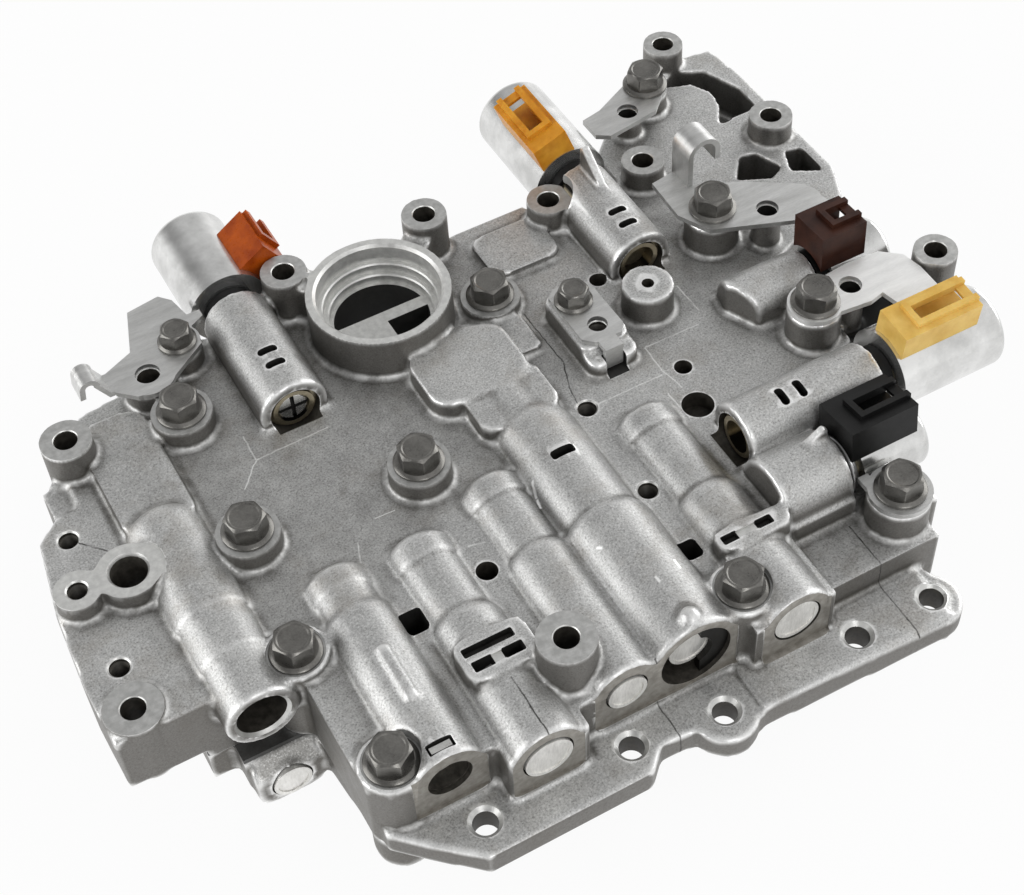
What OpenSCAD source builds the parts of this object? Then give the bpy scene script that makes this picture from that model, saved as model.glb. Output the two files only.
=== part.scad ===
// Transmission valve body: two die castings with spool valves, plugs, keepers and five solenoids.
// X runs along the front flange, Y along the valve bores away from the flange, Z up.
// The origin lies on the face of the middle foot of the lower casting.

/* [Castings] */
// Reach of the left wing from the origin
left_reach = 101.5; // [100.5:0.25:104]
// Reach of the right wing from the origin
right_reach = 167; // [166:0.25:169]
// Reach of the front flange from the origin
front_reach = 93.8; // [93:0.2:97]
// Reach of the arm at the rear from the origin
rear_reach = 122; // [121.5:0.25:125]
// Height of the lower casting, feet included
lower_h = 16.5; // [14:0.5:24]
// Height of the feet under the lower casting
foot_h = 4.5; // [2:0.5:5]
// Thickness of the separator plate
plate_t = 1.5; // [1:0.25:3]
// Height of the upper casting from its joint face to its deck
upper_h = 24; // [22:1:30]
// Thickness of the front flange
flange_t = 8; // [6:0.5:9]
// Step up of the right half of the flange
flange_step = 1.2; // [0.4:0.2:2]
// Depth of the low shelf at the right below the deck
shelf_drop = 6; // [4:0.5:8]
// Relief under the overhanging left wing
wing_relief = 3.5; // [1:0.5:6]
// Radius of the holes for the bolts that fix the body to its case
fix_hole_r = 3.3; // [3:0.1:4]
// Radius of the threaded holes in the deck
thread_r = 2.6; // [2:0.1:3.2]

/* [Valve bores] */
// Depth of the valve bore axes below the deck
bore_drop = 4; // [3:0.5:6]
// Bore radius of the two slim valves
slim_bore_r = 5.6; // [4.5:0.1:6]
// Bore radius of the two wide valves
wide_bore_r = 6.6; // [5.5:0.1:7]
// Bore radius of the valve in the big central hump
main_bore_r = 6.1; // [5:0.1:7]
// Radius of the counterbore in front of the main valve
counterbore_r = 10.2; // [8.5:0.1:10.5]
// Bore radius of the open bore, where a hand-selected valve goes in
open_bore_r = 6.8; // [5.5:0.1:7]
// Bore radius of the valve in the lower casting
low_bore_r = 5.4; // [4.6:0.1:5.8]
// Metal around a valve bore
bore_wall = 3.8; // [3:0.1:4.5]
// Metal behind the blind end of a valve bore
end_wall = 6; // [4:0.5:9]
// Rounding of the rear ends of the humps
hump_round = 6; // [4:0.5:7]
// Radial running clearance of a spool in its bore
spool_clear = 0.03; // [0.02:0.01:0.08]
// Travel of a spool against its spring
spool_stroke = 5; // [3:0.5:6]
// Width of a spool land
land_w = 5; // [3:0.5:6]
// Depth of the grooves between the lands
groove_d = 2; // [1:0.25:3]
// Length of a return spring when its spool is fully home
spring_block = 9; // [7:0.5:12]
// Wire diameter of a return spring
wire_d = 1.1; // [0.8:0.1:1.4]
// Thickness of a keeper plate
keeper_t = 1.8; // [1.2:0.1:2.4]

/* [Bolts] */
// Shank radius of the flange bolts
bolt_r = 3; // [2.5:0.1:3.2]
// Width across the flats of the big hexagon heads
bolt_af = 10; // [9:0.5:11]
// Height of a big hexagon head
bolt_head_h = 5; // [4:0.5:6]
// Radius of the flange under a big head
bolt_flange_r = 7; // [6:0.1:7.6]
// Shank radius of the small bolts
small_bolt_r = 2.5; // [2:0.1:3]
// Width across the flats of the small hexagon heads
small_af = 8; // [7:0.5:9]
// Radius of a flange bolt boss
boss_r = 8.5; // [8:0.1:10]
// Height of a flange bolt boss above the deck
boss_h = 6.5; // [4:0.5:9]

/* [Ring port] */
// Outer radius of the ring port
ring_r = 21; // [19.5:0.25:23]
// Height of the ring port above the deck
ring_h = 14; // [10:0.5:18]
// Radius of the mouth of the ring port
ring_bore_r = 18; // [16:0.25:18.5]
// Depth of the ring port from its rim to the bridge across it
ring_depth = 12; // [8:0.5:14]

/* [Solenoids] */
// Radius of the solenoid cans
can_r = 12; // [10:0.25:12.5]
// Radius of the two small solenoid cans
small_can_r = 9.6; // [8.5:0.1:10]
// Height of the solenoid axes above the deck
can_rise = 3.5; // [2:0.5:5]
// Radius of a solenoid nose
nose_r = 7.4; // [6:0.1:7.8]
// Metal around a solenoid nose
nose_wall = 2.7; // [2:0.1:3.5]
// Width of the narrow connectors
conn_w = 11.6; // [10.5:0.1:13]
// Width of the wide connectors
wide_conn_w = 14; // [13:0.2:16]
// Rise of the lowest connector above its can
conn_rise = 6.8; // [6.6:0.1:9]
// Wall of a connector
conn_wall = 1; // [0.8:0.1:1.2]

/* [Brackets] */
// Thickness of the bracket sheets
sheet_t = 1.6; // [1.2:0.1:2.2]
// Height of the left and rear bracket pads above the deck
low_pad_h = 7; // [5:0.5:9]
// Height of the right bracket pads above the deck
high_pad_h = 11; // [9:0.5:13]

/* [Hidden] */
$fn = 48;
eps = 0.5;
// Gap between pieces that are fitted together
fit = 0.05;
// Gap at the rest stop of a spool
rest_gap = 0.2;
spring_l = spool_stroke + spring_block;
spring_turns = 4;
spring_gap = 0.4;

joint_z = lower_h + plate_t;
deck_z = joint_z + upper_h;
bore_z = deck_z - bore_drop;
flange_z = joint_z + flange_t;
shelf_z = deck_z - shelf_drop;
can_z = deck_z + can_rise;
housing_r = nose_r + nose_wall;
low_pad_z = deck_z + low_pad_h;
high_pad_z = deck_z + high_pad_h;
ring_floor_z = deck_z + ring_h - ring_depth;

// Plan of the deck of the upper casting
deck_plan = [[0.5 - left_reach, -28], [-53.5, -28], [-53.5, -70], [-49, -74.7], [-20.8, -74.7],
    [-20.8, -81.6], [1.6, -81.6], [1.6, -75.5], [51, -75.5], [51, -79.5], [75.5, -79.5], [75.5, -58],
    [97, -58], [97, -38], [122, -38], [122, -13], [129.6, -10], [129.6, 27], [150, 36], [162, 40],
    [right_reach, 52], [right_reach, 104], [right_reach - 1, 113], [right_reach - 1.5, rear_reach - 2.7],
    [157, rear_reach - 1.5], [142, rear_reach], [126, 112], [107, 94], [107, 80], [78, 80],
    [77, 86.5], [52, 86.5], [38, 80], [-4, 80], [-8.5, 85.7], [-28.5, 85.7], [-30, 87], [-45, 86],
    [-57, 79], [-71, 77], [-79, 69], [-87, 57], [-82, 56], [-82, 46], [-89.5, 46], [-96, 40],
    [1.5 - left_reach, 16], [-left_reach, -8]];
// Plan of the front flange, and the rounding of its lobe and of its end
flange_outline = [[-52, -72], [-52, -74.5], [-44, -82.5], [-33, 1.5 - front_reach],
    [13.3, 1.5 - front_reach], [18.8, -87], [29, -88], [32, 0.8 - front_reach], [43, 0.8 - front_reach],
    [47, 1.8 - front_reach], [103, -front_reach], [111, -85.4], [107, -76], [107, -70]];
flange_lobe_r = 9;
flange_end_r = 8.4;
// Plan that the separator plate and the lower casting share
lower_plan = [[-80, -26], [-73, -26], [-73, -33], [-53.5, -33], [-51, -62], [-40, -71], [72, -71],
    [98, -64], [106, -46], [120, -34], [120, 22], [152, 46], [156, 104], [142, 110], [112, 80],
    [60, 80], [6, 78], [-42, 70], [-70, 62], [-80, 40]];
// Pockets of the right wing
wing_pocket_1 = [[140, 112], [150, 115.5], [158, 111], [163, 98], [162.5, 88], [148, 86.5], [153, 94],
    [154.5, 101], [151, 108]];
wing_pocket_2 = [[138.5, 62], [145, 70.5], [150, 69.5], [153.5, 60], [148, 57.5]];
wing_pocket_3 = [[155, 57], [158.5, 65.5], [163.5, 64], [163.5, 52]];
wing_pocket_plans = [wing_pocket_1, wing_pocket_2, wing_pocket_3];

// Valves of the upper casting, from left to right
valve_x = [-33.5, -10.3, 15.5, 35.7, 63.5];
valve_face = [-74.7, -81.6, -75.5, -75.5, -79.5];
valve_step = [-20, -35, -27, -27, -33];
valve_end = [-8, -10, -2, 12, -3];
valve_bore = [slim_bore_r, wide_bore_r, slim_bore_r, main_bore_r, wide_bore_r];
hump_r = [slim_bore_r + bore_wall + 0.8, wide_bore_r + bore_wall, slim_bore_r + bore_wall + 0.8,
    counterbore_r + bore_wall - 0.7, wide_bore_r + bore_wall];
// How far each plug lies behind its front face, and where it ends
plug_inset = [6, -0.5, -0.5, 3, 0.3];
plug_end = [-60, -48.5, -66, -64, -51];
// The step down of the slimmer rear stretch of a hump
hump_step = 1.2;
// The groove of each plug in which its keeper sits; the first plug and the main one have it in front
keeper_in = [3.7, 29.6, 24];
keeper_y = [valve_face[0] + keeper_in[0], valve_face[1] + keeper_in[1], 0,
    valve_face[3] + plug_inset[3] - keeper_t, valve_face[4] + keeper_in[2]];
plug_groove_d = 2;
groove_play = 0.6;
plug_dish = 0.3;
plug_rim = 1.1;
fork_gap = 0.1;
keeper_sink = 1;
// Free play of a keeper in its slot
keeper_play = 0.2;
// Half spread and half width of the legs of the fork that holds the last plug
fork_leg = 5.2;
fork_half = 2.2;
counterbore_l = 9;
// How far the clip in front of the main plug covers it, and where the clip is cut off
clip_overlap = 0.6;
clip_cut = 2;
fork_base = 4;

// The open bore at the left
open_x = -65.5;
open_face = -36.2;
open_end = 27;
open_mid = -20;
open_rear = -6;
open_step = 0.7;
open_r = open_bore_r + bore_wall;

// The valve in the lower casting
low_x = -63;
low_face = -38.5;
low_end = 14;
low_drop = 8.5;
low_z = lower_h - low_drop;
low_plug_end = -28;
low_plug_inset = -0.4;
// Block around the low valve: half width, floor, rounding, rear end, start and depth of its sloped brow
low_block_half = 9.5;
low_block_z = 1;
low_block_round = 4;
low_block_end = -20;
brow_y = -33;
brow_drop = 5;

// Flange bolts: place and seat height above the deck
flange_bolts = [[-46.4, 58.1, boss_h], [-47.4, 10.7, boss_h], [1.5, 8.2, boss_h], [-51.5, -26.9, 2],
    [-44.8, -66.7, 1.5], [48.4, 54.9, 4], [53.7, -68.3, 4]];
// Depth of the threads in the lower casting and under the brackets, and free depth below a bolt
flange_grip = 10;
bracket_grip = 13;
thread_runout = 1;
// Gap between a shank and a plain hole, and round the flange of a head
shank_gap = 0.3;
head_gap = 0.4;
tool_h = 20;
// Height of the flange under a head, and depth of the dish in it
bolt_rim = 1.4;
dish_d = 0.7;
// Feet of the lower casting: place and radius; the first one is on the origin
feet = [[0, 0, 9], [-36, -46, 8], [60, -50, 8], [-58, 46, 8], [100, 58, 8], [108, -20, 8], [138, 92, 8]];
// Height of the pad under the front bracket
front_pad_h = 4;
// Small bracket bolts: place and seat
small_bolts = [[-37.8, 81, low_pad_z + sheet_t], [65.6, 36.4, low_pad_z + sheet_t]];
bracket_bolts = [[117.5, 44.5, high_pad_z + sheet_t], [132.5, 106.5, low_pad_z + sheet_t],
    [121, -2.5, high_pad_z + sheet_t], [105.5, -64, deck_z + front_pad_h + sheet_t]];

// Posts for the bolts that fix the body to its case: place, height above the deck, radius
wing_post_in = 8.5;
fix_posts = [[-78.2, 61.7, 10, 7.2], [-93, -21, 1.5, 7.8], [-2.1, 85.5, 14, 6.8], [43.4, 85.5, 14, 6.8],
    [80.7, 77.4, 8, 6.6], [148.6, rear_reach - 0.5, 8, 6.4], [right_reach - wing_post_in, 74.3, 8, 6.8],
    [113.8, 77.4, 8, 6.6], [161, -4.2, 14, 6.4], [5, -64.5, 14, 7.8]];
// Posts whose holes run on through the lower casting
through_posts = [2, 3, 9];
flange_hole_in = 8.4;
flange_holes = [[-29.3, 2.2 + flange_hole_in - front_reach], [12.2, 2.2 + flange_hole_in - front_reach],
    [37.7, flange_hole_in - front_reach - 1.1], [79.1, flange_hole_in - front_reach],
    [102.7, flange_hole_in - front_reach]];
// Threaded and plain holes in the deck: place, radius, depth
deck_holes = [[-88.7, 37.5, thread_r, 14], [-91.5, -7, thread_r, 14], [52.2, 6.2, thread_r, 12],
    [51.5, -26.9, thread_r, 12], [2, -28.2, 3, 16], [83, 5.4, 2.6, 14],
    [79, -8.5, 4.6, 6], [80.1, 47.3, 2.6, 14]];
pad_bore = [-79, 15.4];
pad_thread = [-92.7, 16.2];
pad_h = 6;
pad_wall = 2.8;
pad_web = 4;
clip_round = 3.5;
small_boss_r = 6.5;
bracket_boss_r = [8.2, 7, 7.8, 8.6];
pad_bore_r = 5;

ring_at = [18, 64.4];
// Steps of the ring port: each step down in radius, height of a step, bridge across the floor
ring_steps = [0, 1.5, 3];
ring_step_h = 3;
floor_ledge = 4;
floor_r = ring_bore_r - floor_ledge;
bridge = [-1.5, 2.5];

// Raised blocks beside the humps: corners, height above the deck, corner rounding
slot_block_2 = [-19.2, -61, 0.8, -47.5];
slot_block_5 = [54.5, -59, 76, -51.8];
slot_rise = wide_bore_r + bore_wall + 0.6 - bore_drop;
main_block = [14.5, 21, 44.8, 45];
main_step_block = [22, 8, 46, 26];
side_block = [43, 31.5, 53, 46.5];
wing_block = [-75, 24, -55, 70];
wing_rise = 3;
rear_block = [54, 61.5, 76.5, 79.5];
rear_rise = 2.4;
block_rounds = [7, 4, 3, 2];
raised_blocks = [[slot_block_2, slot_rise, block_rounds[1]], [slot_block_5, slot_rise, block_rounds[2]],
    [main_block, boss_h, block_rounds[0]], [main_step_block, boss_h - 1, block_rounds[1]],
    [side_block, rear_rise, block_rounds[3]], [wing_block, wing_rise, block_rounds[0]],
    [rear_block, rear_rise, block_rounds[1]]];
// Hump behind the main valve: place, start, end, radius
rear_hump = [34.2, 0, 50, 10.4];
// Rib and bump on the humps
rib = [-34.8, -56.5, -31.6, -39];
rib_h = 1.2;
bump_y = -72;
bump_r = 3.2;
// Keeper slots and windows beside the valves: corners
keeper_1_x = [-36.3, -30.7];
keeper_2_x = [-17.2, -3.4];
small_slots = [[-16.6, -58.2, -11.6, -55.2], [-8, -58.2, -3, -55.2]];
hump_window_y = [-10.8, -7.8];
hump_window_half = 3.5;
hump_window = [valve_x[3] - hump_window_half, hump_window_y[0],
    valve_x[3] + hump_window_half, hump_window_y[1]];
deck_windows = [[-24.6, -36.5, -18.4, -29], [47.6, -52.4, 53.2, -46.2]];
deck_window_d = 14;
top_z = deck_z + tool_h;
// Clip pad: corners, lower front, slot of the tab, second hole
clip_pad = [58.8, 19, 74.4, 43.5];
clip_front = [58.8, 13.6, 74.4, 30];
clip_front_drop = 2;
clip_slot = [63.2, 12, 69.6, 17.2];
clip_hole = [66.9, 25.2];
clip_tab = [63.6, 15, 69.2, 16.6];
clip_tab_h = 7.5;
left_pad = [-49.7, 73.9];
left_pad_r = 7.4;
// Round boss with a small hole beside the clip
stud = [86.6, 30.3];
stud_h = 10;
stud_r = 7.6;
stud_hole_r = 1.8;
stud_hole_d = 8;
// Steps of the flange and of the shelves: corners and tops
ledge_drop = 1.2;
flange_raise = [47, 1.8 - front_reach, 104, -74];
shelves = [[70, -75, 112, -50, shelf_z], [110, -66, 118, -52, shelf_z + 2], [129, -9, 160, 1, shelf_z],
    [-89.5, 46, -81, 57, deck_z - ledge_drop]];
// Reliefs in the joint face under the left wing and the open bore
wing_cut = [-left_reach - 2, -40, -80, 70];
bore_cut = [-70.5, -36, -60, -28.5];
pocket_d = 14;

// Solenoids: axes, heights, ends of the noses, mouths of the housings, cans
sol_1_x = -18.5;
sol_2_x = 92.8;
sol_3_y = 15;
sol_4_y = -26;
sol_5_y = -45.6;
sol_z = [can_z, can_z, can_z - 1, can_z, can_z - 3];
sol_nose_front = [45.5, 45, 112, 80, 82];
sol_open = [true, true, false, true, false];
sol_mouth = [86, 80.5, 130, 122.3, 97];
sol_can_r = [can_r, can_r, small_can_r, can_r, small_can_r];
sol_can_l = [32, 38, 20.5, 34.5, 21.5];
housing_rs = [housing_r, housing_r, housing_r - 1.2, housing_r, housing_r + 1];
housing_lip = 1;
foot_inset = 0.4;
nose_recess = 4;
nose_step = 1.5;
nose_bore_r = nose_r - 2.6;
collar_l = 4.5;
collar_r = nose_r + 0.3;
collar_gap = 0.6;
stem_r = nose_r - 1.2;
can_round = 2;
// Round wire of the spring ring, and the slotted screw
ring_wire_r = 1.2;
ring_gap = 0.1;
screw_inset = 0.6;
screw_gap = 0.2;
screw_slot = 1.1;
// Free space in the casting around the collars and the cans
ring_space_r = nose_r + 1.8;
can_space = 0.5;
// Windows over the open noses: places along the axes, half length and half width
windows_1 = [54.7, 60.2];
windows_2 = [51.4, 57.4];
windows_4 = [93.1, 98.8];
window_half = [2.9, 1.2];
// Plan that cuts the blind end of the third housing into facets
housing_3_plan = [[104.4, 17.4], [109.2, 7], [140, 4], [140, 26], [106, 25]];
// Fins at the mouths of two housings: profile along the axis and height, thickness
fin_2 = [[-15, 0], [0, 0], [0, 8], [-2, 9.5]];
fin_5 = [[-8.5, 0], [0, 0], [0, 3.6], [-1.6, 5]];
fin_t = 2.6;
// Connectors: width, rise above the can, length, turn about the axis, start from the rim of the can
conn_ws = [conn_w - 0.6, conn_w, wide_conn_w - 0.4, conn_w + 0.4, wide_conn_w + 0.8];
conn_rises = [conn_rise + 1.7, conn_rise + 0.8, conn_rise + 2.2, conn_rise, conn_rise];
conn_l = [17, 25, 15, 25.4, 21];
conn_turn = [57, -20, -3, 5, -8];
conn_start = [2.1, 0.3, -3.5, 1, -3];
conn_back = 5;
conn_sink = 3;
// Window in the top of a connector: half width, first edge, land left at the open end
latch_half = 2.4;
latch_start = 7;
latch_land = 3;
rail_w = 1.8;
rail_h = 1.4;
// Blade terminals: half spread, width, thickness, length
blade_spread = 2.4;
blade_w = 1.8;
blade_t = 0.8;
blade_l = 5;

// Outlines of the bracket sheets, rounding of their ends, places of their plain holes
left_outline = [[-51, 84], [-60, 80], [-60, 72], [-55, 67.2], [-47.7, 66.2], [-32, 77], [-32, 84.5],
    [-27.6, 86.8], [-27.6, 89.4], [-31.5, 89.4], [-33, 97], [-36, 100.5], [-46, 99]];
left_end_r = 8;
rear_outline = [[107.2, 94], [111, 91.4], [129, 94.2], [138, 103], [131, 112], [114, 103.4], [107.2, 102]];
rear_hole = [121.3, 98.5];
loop_outline = [[108, 62.6], [107.2, 47], [112, 37], [135, 27.6], [148, 29.8], [146, 39], [131, 49.5],
    [117, 56], [117, 64]];
loop_end = [141.5, 34];
loop_end_r = 6.2;
loop_hole = [131, 36];
right_outline = [[121, -9.5], [124.8, -9.1], [134.7, -10.2], [139.2, -9.1], [140.5, -15.1], [154, -15.2],
    [154.3, -6.3], [153, 0.1], [147.7, 4.8], [137.3, 5.5], [125.7, 4.4], [121, 4.5]];
right_hole = [133.3, -2];
front_outline = [[98.2, -64], [107, -64], [107, -58.5], [101.6, -57.6], [101.2, -55.4], [98.2, -55.4]];
clip_outline = [[60, 22.2], [62.8, 19.4], [63.6, 19.2], [63.6, 15], [69.2, 15], [69.2, 19.2], [71.2, 19.2],
    [73.4, 22], [73.2, 40.5], [70, 43.5], [63, 43.5], [60, 41]];
// Rolled loop: place, rise of its foot, outer radius, width, drop of its free end
loop_at = [116, 64.5];
loop_rise = 12;
loop_r = 5.4;
loop_w = 9;
loop_drop = 3.5;
// Hooked spring tab: place, width, height and radius of the hook
hook_at = [-60, 72.5];
hook_w = 7.5;
hook_h = 6;
hook_r = 3;
hook_lean = 3.4;

// Local Z turned to run along Y or along X
module along_y(x, y, z) {
    translate([x, y, z]) rotate([-90, 0, 0]) children();
}

module along_x(x, y, z) {
    translate([x, y, z]) rotate([0, 90, 0]) children();
}

// Puts a child on the axis of solenoid i, with local Z along the axis towards the can
module on_solenoid(i, s) {
    if (i == 0) along_y(sol_1_x, s, sol_z[i]) children();
    if (i == 1) along_y(sol_2_x, s, sol_z[i]) children();
    if (i == 2) along_x(s, sol_3_y, sol_z[i]) children();
    if (i == 3) along_x(s, sol_4_y, sol_z[i]) children();
    if (i == 4) along_x(s, sol_5_y, sol_z[i]) children();
}

// Half section of a round bar with a rounded far end
module round_end(r, l, round_r) {
    square([r, l - round_r]);
    square([r - round_r, l]);
    translate([r - round_r, l - round_r]) intersection() {
        circle(round_r);
        square(round_r);
    }
}

// Hump over a bore along Y, one turned form: stretches of [start, end, radius] with rounded rear ends
module hump(x, y0, z, stretches) {
    along_y(x, y0, z) rotate_extrude() for (s = stretches) {
        translate([0, s[0] - y0]) round_end(s[2], s[1] - s[0], hump_round);
    }
}

module post(x, y, z0, z1, r) {
    translate([x, y, z0]) cylinder(h = z1 - z0, r = r);
}

// Rectangle with round corners, exact arcs
module round_rect(x0, y0, x1, y1, r) {
    translate([x0 + r, y0]) square([x1 - x0 - 2 * r, y1 - y0]);
    translate([x0, y0 + r]) square([x1 - x0, y1 - y0 - 2 * r]);
    for (x = [x0 + r, x1 - r], y = [y0 + r, y1 - r]) translate([x, y]) circle(r);
}

module block(x0, y0, z0, x1, y1, z1) {
    translate([x0, y0, z0]) cube([x1 - x0, y1 - y0, z1 - z0]);
}

module flange_plan() {
    polygon(flange_outline);
    translate(flange_holes[2]) circle(flange_lobe_r);
    translate(flange_holes[4]) circle(flange_end_r);
}

// Outer forms of the front valves with their slot blocks
module valve_humps() {
    for (i = [0:4]) {
        hump(valve_x[i], valve_face[i], bore_z, [[valve_face[i], valve_step[i], hump_r[i]],
            [valve_face[i], valve_end[i], hump_r[i] - hump_step]]);
    }
    hump(open_x, open_face, bore_z, [[open_face, open_end, open_r - open_step],
        [open_mid, open_end, open_r], [open_rear, open_end + end_wall, open_r + open_step]]);
    hump(rear_hump[0], rear_hump[1], bore_z, [[rear_hump[1], rear_hump[2], rear_hump[3]]]);
    for (b = raised_blocks) {
        translate([0, 0, bore_z]) linear_extrude(bore_drop + b[1])
            round_rect(b[0][0], b[0][1], b[0][2], b[0][3], b[2]);
    }
    block(rib[0], rib[1], bore_z, rib[2], rib[3], bore_z + hump_r[0] + rib_h);
    translate([valve_x[3], bump_y, bore_z + hump_r[3] - 1]) sphere(bump_r);
}

// Round housings around the solenoid noses, each with a straight-sided foot
module nose_housings() {
    for (i = [0, 1, 3, 4]) {
        front = sol_nose_front[i] - (sol_open[i] ? housing_lip : end_wall);
        on_solenoid(i, front) cylinder(h = sol_mouth[i] - front, r = housing_rs[i]);
    }
    foot_z = deck_z - 1;
    f = housing_r - foot_inset;
    e = foot_inset - housing_lip;
    block(sol_1_x - f, sol_nose_front[0] + e, foot_z, sol_1_x + f, sol_mouth[0] - foot_inset, can_z);
    block(sol_2_x - f, sol_nose_front[1] + e, foot_z, sol_2_x + f, sol_mouth[1] - foot_inset, can_z);
    block(sol_nose_front[3] + e, sol_4_y - f, foot_z, sol_mouth[3] - foot_inset, sol_4_y + f, can_z);
    faceted_housing(foot_z);
    translate([sol_2_x + 1.5, sol_mouth[1] - eps, can_z + housing_r - 1]) rotate([0, 0, 90]) fin(fin_2);
    translate([sol_mouth[4] - eps, sol_5_y + 3, sol_z[4] + housing_rs[4] - 1]) fin(fin_5);
}

// Housing of the third solenoid, its blind end cut into facets
module faceted_housing(foot_z) {
    front = sol_nose_front[2] - end_wall - 3;
    f = housing_rs[2] - foot_inset;
    intersection() {
        union() {
            on_solenoid(2, front) cylinder(h = sol_mouth[2] - front, r = housing_rs[2]);
            block(front, sol_3_y - f, foot_z, sol_mouth[2] - foot_inset, sol_3_y + f, sol_z[2] + 1);
        }
        translate([0, 0, foot_z - 1]) linear_extrude(tool_h + can_r) polygon(housing_3_plan);
    }
}

// Three-cornered fin along X, highest at its end
module fin(profile) {
    translate([0, fin_t / 2, 0]) rotate([90, 0, 0]) linear_extrude(fin_t) polygon(profile);
}

module casting_bosses() {
    for (b = flange_bolts) post(b[0], b[1], joint_z, deck_z + b[2], boss_r);
    for (p = fix_posts) post(p[0], p[1], joint_z, deck_z + p[2], p[3]);
    post(small_bolts[0][0], small_bolts[0][1], joint_z, low_pad_z, small_boss_r);
    post(left_pad[0], left_pad[1], joint_z, low_pad_z, left_pad_r);
    raised_pad(clip_pad, low_pad_h, clip_round);
    raised_pad(clip_front, low_pad_h - clip_front_drop, clip_round);
    for (i = [0:3]) {
        b = bracket_bolts[i];
        post(b[0], b[1], i == 0 ? deck_z - 1 : joint_z, b[2] - sheet_t, bracket_boss_r[i]);
    }
    post(stud[0], stud[1], deck_z - 1, deck_z + stud_h, stud_r);
    translate([0, 0, deck_z - 1]) linear_extrude(pad_h + 1) {
        translate(pad_bore) circle(pad_bore_r + pad_wall);
        translate(pad_thread) circle(thread_r + pad_wall);
        translate([pad_thread[0], pad_thread[1] - pad_web])
            square([pad_bore[0] - pad_thread[0], 2 * pad_web]);
    }
}

// Pad on the deck with rounded corners
module raised_pad(c, h, r) {
    translate([0, 0, deck_z - 1]) linear_extrude(h + 1) round_rect(c[0], c[1], c[2], c[3], r);
}

// Slot with straight sides through the deck, its corners given in plan
module deck_slot(c, z0) {
    block(c[0], c[1], z0, c[2], c[3], top_z);
}

// Everything of the upper casting that is solid
module upper_solid() {
    translate([0, 0, joint_z]) linear_extrude(upper_h) polygon(deck_plan);
    translate([0, 0, joint_z]) linear_extrude(flange_t) flange_plan();
    f = flange_raise;
    block(f[0], f[1], joint_z + 1, f[2], f[3], flange_z + flange_step);
    for (s = shelves) block(s[0], s[1], joint_z, s[2], s[3], s[4]);
    valve_humps();
    nose_housings();
    casting_bosses();
    post(ring_at[0], ring_at[1], joint_z, deck_z + ring_h, ring_r);
}

// Bores and chambers that run along the valves and the solenoids
module upper_bores() {
    for (i = [0:4]) {
        along_y(valve_x[i], valve_face[i] - eps, bore_z)
            cylinder(h = bore_end(i) - valve_face[i] + eps, r = valve_bore[i]);
        front = sol_nose_front[i] - (sol_open[i] ? nose_recess : 0);
        on_solenoid(i, front) cylinder(h = sol_mouth[i] - front + eps, r = nose_r + fit);
    }
    along_y(valve_x[3], valve_face[3] - eps, bore_z) cylinder(h = counterbore_l + eps, r = counterbore_r);
    along_y(open_x, open_face - eps, bore_z) cylinder(h = open_end - open_face + eps, r = open_bore_r);
}

// Slots in the humps for the keepers, and the windows over the bores
module upper_slots() {
    k = keeper_t / 2 + keeper_play;
    w = fork_half + keeper_play;
    g = keeper_play;
    deck_slot([keeper_1_x[0] - g, keeper_y[0] - k, keeper_1_x[1] + g, keeper_y[0] + k], bore_z);
    deck_slot([keeper_2_x[0] - g, keeper_y[1] - k, keeper_2_x[1] + g, keeper_y[1] + k], bore_z);
    for (c = small_slots) deck_slot(c, bore_z);
    for (x = [valve_x[4] - fork_leg, valve_x[4] + fork_leg]) {
        deck_slot([x - w, keeper_y[4] - k, x + w, keeper_y[4] + k], bore_z - 1);
    }
    reach = fork_leg + w;
    block(valve_x[4] - reach, keeper_y[4] - k, joint_z - eps, valve_x[4] + reach, keeper_y[4] + k, bore_z);
    deck_slot(hump_window, bore_z);
    for (y = windows_1) window(sol_1_x, y, true);
    for (y = windows_2) window(sol_2_x, y, true);
    for (x = windows_4) window(x, sol_4_y - 1, false);
    for (c = deck_windows) deck_slot(c, deck_z - deck_window_d);
    deck_slot(clip_slot, deck_z);
}

// Window over a solenoid nose, with round corners
module window(x, y, across) {
    a = window_half;
    translate([x, y, can_z]) rotate([0, 0, across ? 0 : 90]) linear_extrude(top_z - can_z)
        round_rect(-a[0], -a[1], a[0], a[1], a[1] - 0.1);
}

// Space for the cans and their collars beyond the mouths of the housings
module can_spaces() {
    for (i = [0:4]) {
        on_solenoid(i, sol_mouth[i]) cylinder(h = collar_l + eps, r = ring_space_r);
        on_solenoid(i, sol_mouth[i] + collar_l - can_space)
            cylinder(h = sol_can_l[i] + 4 * can_space, r = sol_can_r[i] + can_space);
    }
}

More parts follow.
